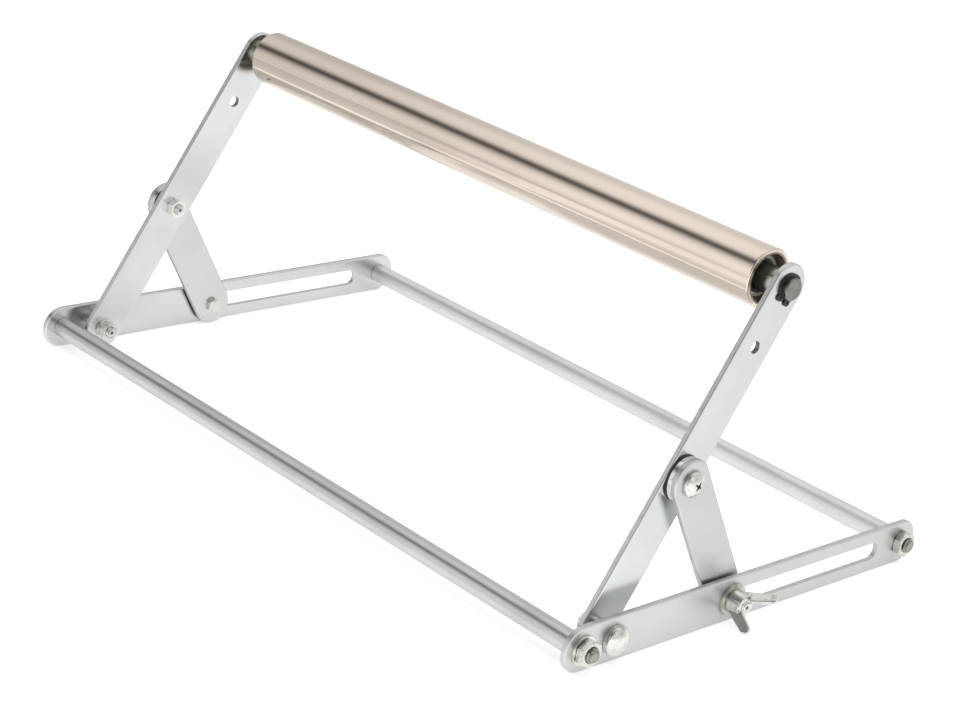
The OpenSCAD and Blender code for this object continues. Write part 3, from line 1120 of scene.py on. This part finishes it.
@dataclass
class BaseFrame:
    """The two slotted bars, the rods that join them, and what fastens the arms' feet."""

    sizes: Sizes
    slot_radius: float = 5.0
    slot_front: float = -24.58
    slot_rear: float = 105.0
    square: float = 3.2
    rod_radius: float = 6.0
    rod_rounding: float = 0.6
    stud: Thread = Thread(4.0, 3.9, 1.25, 0.32)
    stud_tip: float = 2.0
    stud_nut_flats: float = 13.0
    stud_nut_height: float = 5.0
    stud_washer: float = 16.0
    # How far inside the bar a stud's thread starts, and how far its plain part reaches into it
    stud_sunk: float = 0.5
    stud_lap: float = 0.4
    head: float = 16.5
    head_height: float = 6.0
    head_rim: float = 3.2
    head_rounding: float = 0.7
    sleeve: float = 12.0
    foot_washer: float = 12.5

    def build(self) -> None:
        """Builds and dresses every piece of the base."""
        for side in Side:
            self.bar(side)
        self.rod("rod_front", "front_rod", self.sizes.front, self.sizes.washer, DRAWN_BAR)
        # The rear rod's lighter tone is painted light
        self.rod("rod_rear", "rear_rod", self.sizes.rear, 0.0, DULL_BAR_PAINTED_LIGHT)
        self.fasteners()

    def bar(self, side: Side) -> None:
        """One slotted bar.

        Args:
            side: The side that it stands on.
        """
        s = self.sizes
        stud_hole = self.stud.radius + s.clearance
        slot = (self.slot_front + self.slot_radius, self.slot_rear - self.slot_radius, self.slot_radius)
        openings = [
            round_hole(s.front, stud_hole),
            round_hole(s.rear, stud_hole),
            RoundEnded(s.foot, s.foot, self.square, square=True),
            RoundEnded(*slot),
        ]
        outline = RoundEnded(s.front, s.rear, s.strip_width / 2)
        form = Form().plate(s.bar_in, s.bar_out, outline, openings, side.rims)
        form.place(s.on_base(0.0)).on_side(side)
        word = side.word
        form.piece(f"bar_{word}", "base", BARS.face(side), f"base_bar_{word}", [(BARS.edge(), on_cut_edge)])

    def rod(self, name: str, node: str, y: float, stack: float, finish: Finish) -> None:
        """One cross rod with a threaded stud at each end.

        Args:
            name: The piece's name.
            node: The CAD node that it stands for.
            y: Its place.
            stack: Thickness of the washers on its studs.
            finish: Its finish.
        """
        s = self.sizes
        tip = s.bar_out + stack + self.stud_nut_height + self.stud_tip
        form = Form()
        form.turn([(0, self.rod_radius), (s.bar_in, self.rod_radius), (s.bar_in, 0)])
        form.soften(self.rod_rounding, 3)
        form.add(shaft(s.bar_in - LAP, s.bar_out - self.stud_sunk, tip, self.stud, self.stud_lap))
        form.both_sides(TINY).place(s.on_base(y))
        # The stud threads beyond the washers are painted dark, as painted shade
        form.piece(name, "base", finish, node, [(BOLT_THREAD_PAINTED_SHADE, on_tip(s.bar_out + stack))])

    def foot_bolt(self) -> Form:
        """A domed bolt through bar, sleeve and arm.

        Returns:
            The bolt's form, with its head's underside on the plane X = 0.
        """
        s = self.sizes
        grip = s.bar_out - s.arm_in
        end = grip + s.play + s.washer + s.nut_height + s.bolt_tip
        head = rimmed_head(self.head, self.head_height, self.head_rim, self.head_rounding)
        return head.add(shaft(SHANK_STEP, grip, end, s.bolt).place(MIRRORED))

    def fasteners(self) -> None:
        """Nuts and washers of the rods, and bolts, sleeves, washers and nuts of the foot pivots."""
        s = self.sizes
        spot = s.on_base(s.foot)
        inner = s.arm_in - s.play
        front_ring = washer(self.stud_washer, self.stud.radius + s.clearance, s.washer)
        sleeve = washer(self.sleeve, s.bore, s.bar_in - s.arm_out)
        foot_ring = washer(self.foot_washer, s.wide_bore, s.washer)
        place_pairs("base", (
            ("hex_nuts_front_rod", "front_rod_nuts", NUT_FINISH, self.stud_nut(),
             s.on_base(s.front, s.bar_out + s.washer)),
            ("hex_nuts_rear_rod", "rear_rod_nuts", NUT_FINISH, self.stud_nut(), s.on_base(s.rear, s.bar_out)),
            ("washers_front_rod", "front_rod_washers", FASTENER, front_ring, s.on_base(s.front, s.bar_out)),
            ("domed_bolts_foot", "foot_pivot_bolts", FASTENER, self.foot_bolt(),
             s.on_base(s.foot, s.bar_out), s.pit(spot)),
            ("sleeves_foot", "foot_pivot_sleeves", FASTENER, sleeve, s.on_base(s.foot, s.arm_out)),
            ("washers_foot", "foot_pivot_washers", FASTENER, foot_ring, s.on_base(s.foot, inner) @ MIRRORED),
            ("hex_nuts_foot", "foot_pivot_nuts", FASTENER, s.nut(),
             s.on_base(s.foot, inner - s.washer) @ MIRRORED),
        ))

    def stud_nut(self) -> Form:
        """A hexagon nut for a rod's stud."""
        return hex_nut(self.stud_nut_flats, self.stud_nut_height, self.stud.radius + self.sizes.fit)


@dataclass(frozen=True)
class CrossRecess:
    """The cross recess of a screw's head: four tapered wings round a conical middle.

    floor_shares and mouth_shares are a wing's length and width at its floor and above the head,
    over those at its mouth. cone has the middle's radii near its point and above the head.
    """

    length: float = 6.0
    width: float = 1.2
    depth: float = 1.8
    wing_floor: float = 0.35
    floor_shares: Edge = (0.42, 0.62)
    mouth_shares: Edge = (1.04, 1.05)
    cone: Edge = (0.75, 1.25)
    cone_rise: float = 0.5
    cone_steps: int = 32
    overshoot: float = 0.5
    margin: float = 0.3

    @property
    def radius(self) -> float:
        """A radius that just holds the recess."""
        return self.length / 2 + self.margin

    def cutter(self, head_height: float) -> Form:
        """The form that cuts the recess.

        Args:
            head_height: Height of the head.

        Returns:
            The form.
        """
        form = Form()
        low, high = head_height - self.depth, head_height + self.overshoot
        for turn in (0.0, math.pi / 2):
            wing = bmesh.ops.create_cube(form.bm, size=1.0)["verts"]
            for vert in wing:
                deep = vert.co.x < 0
                length_share, width_share = self.floor_shares if deep else self.mouth_shares
                vert.co.x = low + self.wing_floor if deep else high
                vert.co.y = math.copysign(self.length / 2 * length_share, vert.co.y)
                vert.co.z = math.copysign(self.width / 2 * width_share, vert.co.z)
            bmesh.ops.rotate(form.bm, verts=wing, cent=(0, 0, 0), matrix=Matrix.Rotation(turn, 3, "X"))
        cone = [(low, 0), (low + self.cone_rise, self.cone[0]), (high, self.cone[1]), (high, 0)]
        form.turn(cone, steps=self.cone_steps)
        return form


@dataclass
class LeaningArms:
    """The pair of leaning arms, the axle between them, and the pivots of the struts."""

    sizes: Sizes
    spare_gap: float = 34.0
    spare_radius: float = 3.25
    spare_margin: float = 0.5
    axle_tail: float = 3.5
    axle_chamfer: float = 0.5
    axle_rounding: float = 0.12
    groove: float = 5.5
    ring: float = 1.0
    spacer: float = 15.0
    spacer_length: float = 7.4
    bearing_face: float = 195.0
    head: float = 14.0
    head_height: float = 4.4
    head_rim: float = 1.8
    head_rounding: float = 0.6
    recess: CrossRecess = CrossRecess()

    def build(self) -> None:
        """Builds and dresses every piece of the arms."""
        for side in Side:
            self.arm(side)
        self.axle()
        self.fasteners()

    def arm(self, side: Side) -> None:
        """One arm.

        Args:
            side: The side that it stands on.
        """
        s = self.sizes
        spare = s.arm_length - self.spare_gap
        openings = [
            round_hole(0.0, s.bore),
            round_hole(s.link, s.bore),
            round_hole(spare, self.spare_radius, ROUND_STEPS),
            round_hole(s.arm_length, s.axle_radius + s.fit, ROUND_STEPS),
        ]
        outline = RoundEnded(0, s.arm_length, s.strip_width / 2)
        form = Form().plate(s.arm_in, s.arm_out, outline, openings, side.rims)
        form.place(s.on_arm(0)).on_side(side)
        # The spare hole's wall is painted dark, as painted shade
        others = [
            (ARMS.edge(s.lean_angle), on_cut_edge),
            (BORE_PAINTED_SHADE, in_bore(s.on_arm(spare), self.spare_radius + self.spare_margin)),
        ]
        word = side.word
        form.piece(f"arm_plate_{word}", "arms", ARMS.face(side, s.lean_angle), f"arm_{word}", others)

    def axle(self) -> None:
        """The axle, grooved for its retaining rings."""
        s = self.sizes
        radius, groove_end, end = s.axle_radius, s.arm_out + self.ring, s.arm_out + self.axle_tail
        form = Form()
        form.turn([
            (0, radius), (s.arm_out, radius), (s.arm_out, self.groove), (groove_end, self.groove),
            (groove_end, radius), (end - self.axle_chamfer, radius), (end, radius - self.axle_chamfer),
            (end, 0),
        ])
        form.soften(self.axle_rounding, 2, lambda middle: middle.x > groove_end + TINY)
        form.both_sides(TINY).place(s.on_arm(s.arm_length))
        form.piece("axle_turned", "arms", s.turned_steel, "axle")

    def screw(self) -> Form:
        """A pan-headed screw with a cross recess, on which a strut turns.

        Returns:
            The screw's form, with its head's underside on the plane X = 0.
        """
        s = self.sizes
        grip = s.strut_out - s.arm_in
        head = rimmed_head(self.head, self.head_height, self.head_rim, self.head_rounding)
        head.cut(self.recess.cutter(self.head_height))
        return head.add(shaft(SHANK_STEP, grip, grip + s.nut_height + s.bolt_tip, s.bolt).place(MIRRORED))

    def fasteners(self) -> None:
        """Spacers and bushes on the axle, and screws, washers, discs and nuts of the struts' pivots."""
        s = self.sizes
        spot = s.on_arm(s.link)
        # The cross recess and the tip's pit are painted dark, as painted shade
        recess = (RECESS_PAINTED_SHADE, in_bore(spot, self.recess.radius, RECESS_SLOPE, (s.strut_in, math.inf)))
        bore = s.axle_radius + s.fit
        spacer_in = s.arm_in - self.spacer_length
        spacer = washer(self.spacer, bore, self.spacer_length)
        bush = washer(self.spacer, bore, spacer_in - self.bearing_face)
        shim = washer(s.strip_width, s.bore, s.shim)
        disc = washer(s.strip_width, s.bore, s.disc)
        place_pairs("arms", (
            ("spacers_bright", "axle_spacers", WASHER_FINISH, spacer, s.on_arm(s.arm_length, spacer_in)),
            ("bushes_dark", "dust_bushes", BUSH_FINISH, bush, s.on_arm(s.arm_length, self.bearing_face)),
            ("cross_head_screws_strut", "strut_pivot_screws", FASTENER, self.screw(),
             s.on_arm(s.link, s.strut_out + s.play), recess, s.pit(spot, (0.0, s.strut_in))),
            # The black on these shims is painted shade for the gap between arm and disc
            ("washers_black_strut", "strut_pivot_washers", BLACK_SKIN_AND_GAP_SHADE, shim, s.on_arm(s.link, s.arm_out)),
            ("discs_strut", "strut_pivot_discs", FASTENER, disc, s.on_arm(s.link, s.disc_in)),
            # The inner nuts' paler tone is painted light
            ("hex_nuts_strut", "strut_pivot_nuts", INNER_NUT_PAINTED_LIGHT, s.nut(),
             s.on_arm(s.link, s.arm_in) @ MIRRORED),
        ))


@dataclass
class FreeRoller:
    """The roller tube with the housings of its bearings."""

    sizes: Sizes
    radius: float = 16.0
    half_length: float = 200.0
    wall: float = 2.0
    edge_round: float = 1.2
    housing_play: float = 0.02
    housing_round: float = 0.15
    lip: float = 1.0
    shoulder: float = 0.5
    bearing_radius: float = 10.5
    bearing_depth: float = 5.0
    seat_end: float = 13.0

    @property
    def bore(self) -> float:
        """Inner radius of the tube."""
        return self.radius - self.wall

    def build(self) -> None:
        """Builds and dresses every piece of the roller."""
        s = self.sizes
        form = Form()
        form.turn([
            (0, self.radius), (self.half_length, self.radius), (self.half_length, self.bore), (0, self.bore),
        ])
        end, mid_wall = self.half_length - TINY, self.radius - self.wall / 2
        form.soften(self.edge_round, 7, lambda middle: middle.x > end and middle.yz.length > mid_wall)
        form.both_sides(TINY).place(s.on_arm(s.arm_length))
        form.piece("tube_polished", "roller", POLISHED_TUBE, "roller_tube")
        for side in Side:
            self.housing(side)

    def housing(self, side: Side) -> None:
        """The pressed ring that holds a bearing in the tube's mouth.

        Args:
            side: The end of the roller.
        """
        s = self.sizes
        outer = self.bore - self.housing_play
        form = Form()
        form.turn(
            [
                (0, self.bore - self.lip), (0, outer), (self.seat_end, outer),
                (self.seat_end, self.bearing_radius), (self.bearing_depth, self.bearing_radius),
                (self.bearing_depth, self.bearing_radius + self.shoulder),
            ],
            closed=True,
        )
        form.soften(self.housing_round, 2)
        form.place(s.on_arm(s.arm_length, self.half_length) @ MIRRORED).on_side(side)
        finish = s.bearing_steel("housing_steel", (0.24, 0.21, 0.165), (0.36, 0.325, 0.26), 0.34)
        form.piece(f"housing_{side.word}", "roller", finish, f"bearing_housing_{side.word}")


@dataclass
class SlidingStrut:
    """One strut, with the bolt that clamps it in the bar's slot and the bolt's washers."""

    sizes: Sizes
    side: Side
    head_flats: float = 8.6
    head_height: float = 2.6
    washer_width: float = 18.5
    wing_body: float = 8.0
    bolt_tip: float = 1.0

    def build(self) -> None:
        """Builds and dresses every piece of the strut."""
        s, side, word = self.sizes, self.side, self.side.word
        body = f"strut_{word}"
        openings = [round_hole(0.0, s.bore), round_hole(s.link, s.wide_bore)]
        outline = RoundEnded(0, s.link, s.strip_width / 2)
        plate = Form().plate(s.strut_in, s.strut_out, outline, openings, side.rims)
        plate.place(s.on_arm(s.link) @ Matrix.Rotation(-2 * s.lean_angle, 4, "X")).on_side(side)
        edge = (STRUTS.edge(-s.lean_angle), on_cut_edge)
        plate.piece(f"strut_plate_{word}", body, STRUTS.face(side, -s.lean_angle), body, [edge])

        grip = s.bar_out - s.strut_in
        bolt = hex_nut(self.head_flats, self.head_height, 0).place(MIRRORED)
        bolt.add(shaft(-SHANK_STEP, grip - LAP, grip + s.washer + self.wing_body + self.bolt_tip, s.bolt))
        bolt.place(s.on_base(s.slot_bolt, s.strut_in)).on_side(side)
        pit = s.pit(s.on_base(s.slot_bolt))
        bolt.piece(f"hex_bolt_slot_{word}", body, FASTENER, f"slot_bolt_{word}", [pit])

        for place, x in (("inner", s.strut_out), ("outer", s.bar_out)):
            ring = washer(self.washer_width, s.wide_bore, s.washer).place(s.on_base(s.slot_bolt, x))
            ring.on_side(side)
            ring.piece(f"washer_slot_{place}_{word}", body, WASHER_FINISH, f"slot_{place}_washer_{word}")


@dataclass
class WingNut:
    """One cast wing nut.

    Each wing joins a disc at its root to a disc at its tip, root and tip being the discs' centres
    from the nut's axis and from its foot.
    """

    sizes: Sizes
    side: Side
    base: float = 6.7
    top: float = 6.0
    height: float = 8.0
    hub_rounding: float = 0.5
    root: Edge = (4.15, 3.6)
    root_radius: float = 3.34
    tip: Edge = (11.1, 17.1)
    tip_radius: float = 2.9
    thickness: float = 2.6
    wing_rounding: float = 0.8
    wing_bore: float = 3.4
    wing_bore_span: Edge = (-1.0, 30.0)
    turn: float = 35.0
    voxel: float = 0.2

    def build(self) -> None:
        """Builds and dresses the wing nut."""
        s = self.sizes
        form = Form()
        for half in (0.0, math.pi):
            form.add(self.wing().place(Matrix.Rotation(half, 4, "X")))
        low, high = self.wing_bore_span
        bore = Form()
        bore.turn([(low, 0), (low, self.wing_bore), (high, self.wing_bore), (high, 0)], steps=HOLE_STEPS)
        form.cut(bore)
        hub = Form()
        hub.turn([(0, s.bore), (0, self.base), (self.height, self.top), (self.height, s.bore)], closed=True)
        hub.soften(self.hub_rounding, 3, lambda middle: middle.yz.length > self.wing_bore)
        form.add(hub)
        form.modified("REMESH", mode="VOXEL", voxel_size=self.voxel, adaptivity=0.0)
        form.modified("SMOOTH", factor=0.5, iterations=6)
        turn = Matrix.Rotation(math.radians(self.turn), 4, "X")
        form.place(s.on_base(s.slot_bolt, s.bar_out + s.washer) @ turn).on_side(self.side)
        word = self.side.word
        form.piece(f"wing_nut_cast_{word}", f"wing_nut_{word}", WING_NUT_FINISH, f"wing_nut_{word}")

    def wing(self) -> Form:
        """One wing, with round edges.

        Returns:
            The wing's form, with the nut's foot on the plane X = 0.
        """
        form = Form()
        for (radial, along), radius in ((self.root, self.root_radius), (self.tip, self.tip_radius)):
            bmesh.ops.create_cone(
                form.bm, cap_ends=True, segments=HOLE_STEPS, radius1=radius, radius2=radius,
                depth=self.thickness, matrix=Matrix.Translation((along, radial, 0)),
            )
        hull = bmesh.ops.convex_hull(form.bm, input=form.bm.verts)
        bmesh.ops.delete(form.bm, geom=hull["geom_interior"], context="VERTS")
        bmesh.ops.remove_doubles(form.bm, verts=form.bm.verts, dist=TINY)
        flat = math.radians(1)
        bmesh.ops.dissolve_limit(form.bm, angle_limit=flat, verts=form.bm.verts, edges=form.bm.edges)
        return form.soften(self.wing_rounding, 3, least=60)


def dress_kept_nodes(frame: dict[str, Any], sizes: Sizes) -> None:
    """Gives the CAD nodes that stay in sight their finishes.

    Args:
        frame: The loaded frame.
        sizes: The stand's shared sizes.
    """
    race = sizes.bearing_steel
    finishes = {
        "retaining_rings": RING_OXIDE,
        "bearing_inner_races": race("bearing_race_ground", (0.62, 0.61, 0.60), (0.72, 0.71, 0.70), 0.2),
        "bearing_outer_races": race("bearing_race_dull", (0.30, 0.27, 0.22), (0.40, 0.37, 0.31), 0.32),
        "bearing_balls": BALL_FINISH,
        "bearing_seals": SEAL_RUBBER,
    }
    for node, finish in finishes.items():
        kept = frame["nodes"][node]
        kept.data.materials.clear()
        kept.data.materials.append(finish.material())
        LOG.info("%s: finish %s", node, finish.name)


# Studio


@dataclass(frozen=True)
class FloorShade:
    """The stand's shade, painted into the floor's glow where reflections see it, with painted light beside
    the right bar and by the front rod.

    Places are in metres. A pair has the places between which the brightness changes, and a pair
    of pairs has those changes at a stretch's start and at its end.
    """

    bar: float = 0.215
    beside_bar: Edge = (0.02, 0.05)
    right_end: Edge = (0.16, 0.24)
    left_arm: tuple[Edge, Edge] = ((-0.23, -0.19), (-0.11, -0.05))
    left_arm_reach: float = 0.08
    front_end: Edge = (-0.42, -0.18)
    rear_end: Edge = (-0.02, 0.08)
    rod: tuple[Edge, Edge] = ((-0.19, -0.165), (-0.13, -0.105))
    dark: float = 0.95
    far_slant: float = 0.42
    far_left: Edge = (-0.354, -0.144)
    far_stretch: tuple[Edge, Edge] = ((-2.6, -0.8), (-0.32, -0.17))
    right_start: Edge = (0.222, 0.262)
    right_rear: Edge = (-0.05, 0.05)
    right_gain: float = 0.45
    rod_gain: float = 0.35

    def level(self, graph: Graph) -> Value:
        """The floor's brightness in reflections.

        Args:
            graph: The floor's material.

        Returns:
            The brightness, 1 in the open.
        """
        point = graph.place()
        x, y = graph.split(point, 0), graph.split(point, 1)
        from_bar = graph.math("ABSOLUTE", graph.math("ABSOLUTE", x) - self.bar)
        between_bars = from_bar.between(*self.beside_bar) * (1.0 - x.between(*self.right_end))
        by_left_arm = x.within(*self.left_arm) * self.left_arm_reach
        depth = y.between(*self.front_end) * (1.0 - (y + by_left_arm).between(*self.rear_end))
        by_rod = y.within(*self.rod)
        shade = between_bars * depth * (self.dark - by_rod * self.dark)
        far_left = 1.0 - (x - y * self.far_slant).between(*self.far_left)
        far_left = far_left * y.within(*self.far_stretch)
        beside = x.between(*self.right_start) * (1.0 - y.between(*self.right_rear))
        gain = 1.0 + beside * self.right_gain + by_rod * self.rod_gain
        return (1.0 - shade) * (1.0 - far_left) * gain


@dataclass
class Studio:
    """The plain floor, the soft light and the camera."""

    azimuth: float = 43.99
    elevation: float = 21.16
    roll: float = 8.57
    distance: float = 1324.44
    right_shift: float = 27.47
    up_shift: float = -12.9
    focal_pixels: float = 2371.71
    image_width: float = 960.0
    sensor_width: float = 36.0
    clip: Edge = (0.05, 100.0)
    target: Colour = (0.0, -36.0, 80.0)
    floor_size: float = 24.0
    floor_drop: float = 0.0002
    floor_tone: float = 0.82
    floor_rough: float = 0.9
    floor_glow: float = 0.55
    floor_gloss: float = 0.36
    floor_shade: FloorShade = FloorShade()
    lamp_power: float = 6.0
    lamp_size: Edge = (1.2, 0.9)
    lamp_place: Colour = (0.3, -0.45, 1.3)
    lamp_aim: Colour = (0.0, 0.0, 0.05)
    # Dark parts of the room, seen in the fasteners: the photographer's, and the ceiling on the right.
    # Each has its direction, the cosines at which it starts and is darkest, and its share of dark.
    dark_parts: tuple[tuple[Colour, Edge, float], ...] = (
        ((0.54, -0.75, 0.40), (0.945, 0.98), 0.9),
        ((0.50, -0.05, 0.865), (0.955, 0.98), 0.85),
    )
    # Brightness of the surroundings by the angle about X, from the rear over the top to the front
    bands: tuple[Edge, ...] = (
        (0.0, 0.80), (34.0, 0.76), (51.0, 0.86), (65.0, 0.98), (78.0, 1.02), (89.0, 1.01), (100.0, 0.95),
        (106.0, 0.80), (111.0, 0.56), (116.0, 0.30), (121.0, 0.15), (126.0, 0.12), (131.0, 0.24),
        (135.0, 0.42), (140.0, 0.64), (149.0, 0.92), (158.0, 1.05), (167.0, 1.09), (176.0, 1.02),
        (180.0, 0.99),
    )
    # The far left of the room is dimmer: its share, and where along X the light falls off
    left_level: float = 0.71
    left_fall: Edge = (-0.78, -0.60)
    # The bands lie askew: the turn about X that they gain along X, and the turn at the middle, in degrees
    skew: Edge = (25.0, 14.0)

    def build(self) -> None:
        """Builds the floor, the lights and the camera."""
        self.floor()
        self.surroundings()
        self.lamp()
        self.camera()

    def floor(self) -> None:
        """A pale floor that stays white where it is fully lit and keeps the shadows."""
        form = Form()
        bmesh.ops.create_grid(form.bm, x_segments=1, y_segments=1, size=self.floor_size / 2)
        floor = form.as_object("floor")
        floor.location.z = -self.floor_drop
        material = bpy.data.materials.new("floor_white")
        material.use_nodes = True
        graph = Graph(material.node_tree)
        shader = graph.node("ShaderNodeBsdfPrincipled", None, {
            "Base Color": (self.floor_tone, self.floor_tone, self.floor_tone, 1.0),
            "Roughness": self.floor_rough,
            "Specular IOR Level": 0.0,
        })
        camera = graph.node("ShaderNodeLightPath", output="Is Camera Ray")
        glossy = graph.node("ShaderNodeLightPath", output="Is Glossy Ray")
        shine = camera * self.floor_glow + glossy * self.floor_gloss * self.floor_shade.level(graph)
        glow = graph.node("ShaderNodeEmission", None, {"Strength": shine})
        both = graph.node("ShaderNodeAddShader", None, {0: shader, 1: glow})
        graph.show("ShaderNodeOutputMaterial", both)
        floor.data.materials.append(material)

    def surroundings(self) -> None:
        """Soft light from all round: white behind, and with darker bands for reflections."""
        world = bpy.data.worlds.new("studio")
        bpy.context.scene.world = world
        world.use_nodes = True
        graph = Graph(world.node_tree)
        direction = graph.node("ShaderNodeTexCoord", output="Generated")
        x, y, z = (graph.split(direction, axis) for axis in range(3))
        peak = max(level for _, level in self.bands)
        stops = [(degrees / 180.0, (level / peak,) * 3) for degrees, level in self.bands]
        slope, middle = map(math.radians, self.skew)
        askew = graph.math("MINIMUM", x * slope + middle, 0.0)
        turn = (graph.math("ARCTAN2", z, y) + askew) / math.pi
        band = graph.node("ShaderNodeValToRGB", {"stops": stops}, {"Fac": turn}, "Color")
        level = (self.left_level + x.between(*self.left_fall) * (1.0 - self.left_level)) * peak
        for part, reach, share in self.dark_parts:
            towards = graph.vector("DOT_PRODUCT", direction, part, output="Value")
            level = level * (1.0 - towards.between(*reach) * share)
        banded = graph.node("ShaderNodeBackground", None, {"Color": band, "Strength": level})
        white = graph.node("ShaderNodeBackground", None, {"Color": (1, 1, 1, 1), "Strength": 1.0})
        camera = graph.node("ShaderNodeLightPath", output="Is Camera Ray")
        mixed = graph.node("ShaderNodeMixShader", None, {0: camera, 1: banded, 2: white})
        graph.show("ShaderNodeOutputWorld", mixed)

    def lamp(self) -> None:
        """A large soft lamp overhead, left out of the reflections."""
        data = bpy.data.lights.new("soft_lamp", "AREA")
        data.shape = "RECTANGLE"
        data.size, data.size_y = self.lamp_size
        data.energy = self.lamp_power
        lamp = bpy.data.objects.new("soft_lamp", data)
        lamp.location = self.lamp_place
        lamp.rotation_mode = "QUATERNION"
        lamp.rotation_quaternion = (Vector(self.lamp_aim) - lamp.location).to_track_quat("-Z", "Y")
        lamp.visible_glossy = False
        bpy.context.scene.collection.objects.link(lamp)

    def camera(self) -> None:
        """The camera, at the photograph's viewing angle."""
        turn, rise, roll = map(math.radians, (self.azimuth, self.elevation, self.roll))
        back = Vector((math.sin(turn) * math.cos(rise), -math.cos(turn) * math.cos(rise), math.sin(rise)))
        level = (-back).cross(Vector((0, 0, 1))).normalized()
        over = level.cross(-back)
        right = math.cos(roll) * level + math.sin(roll) * over
        up = -math.sin(roll) * level + math.cos(roll) * over
        spot = Vector(self.target) + self.distance * back + self.right_shift * right + self.up_shift * up
        data = bpy.data.cameras.new("camera")
        data.sensor_width = self.sensor_width
        data.lens = self.focal_pixels * self.sensor_width / self.image_width
        data.clip_start, data.clip_end = self.clip
        camera = bpy.data.objects.new("camera", data)
        camera.matrix_world = Matrix.Translation(spot * MM) @ Matrix((right, up, back)).transposed().to_4x4()
        bpy.context.scene.collection.objects.link(camera)
        bpy.context.scene.camera = camera


def corners(box: tuple[Vector, Vector]) -> list[list[float]]:
    """A box as plain lists of numbers."""
    return [list(corner) for corner in box]


def main() -> None:
    """Builds the stand's looks around its frame."""
    logging.basicConfig(level=logging.INFO, format="%(message)s")
    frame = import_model()
    bpy.context.scene.view_settings.view_transform = "Standard"
    sizes = Sizes()
    Studio().build()
    BaseFrame(sizes).build()
    LeaningArms(sizes).build()
    FreeRoller(sizes).build()
    for side in Side:
        SlidingStrut(sizes, side).build()
        WingNut(sizes, side).build()
    dress_kept_nodes(frame, sizes)


if __name__ == "__main__":
    main()
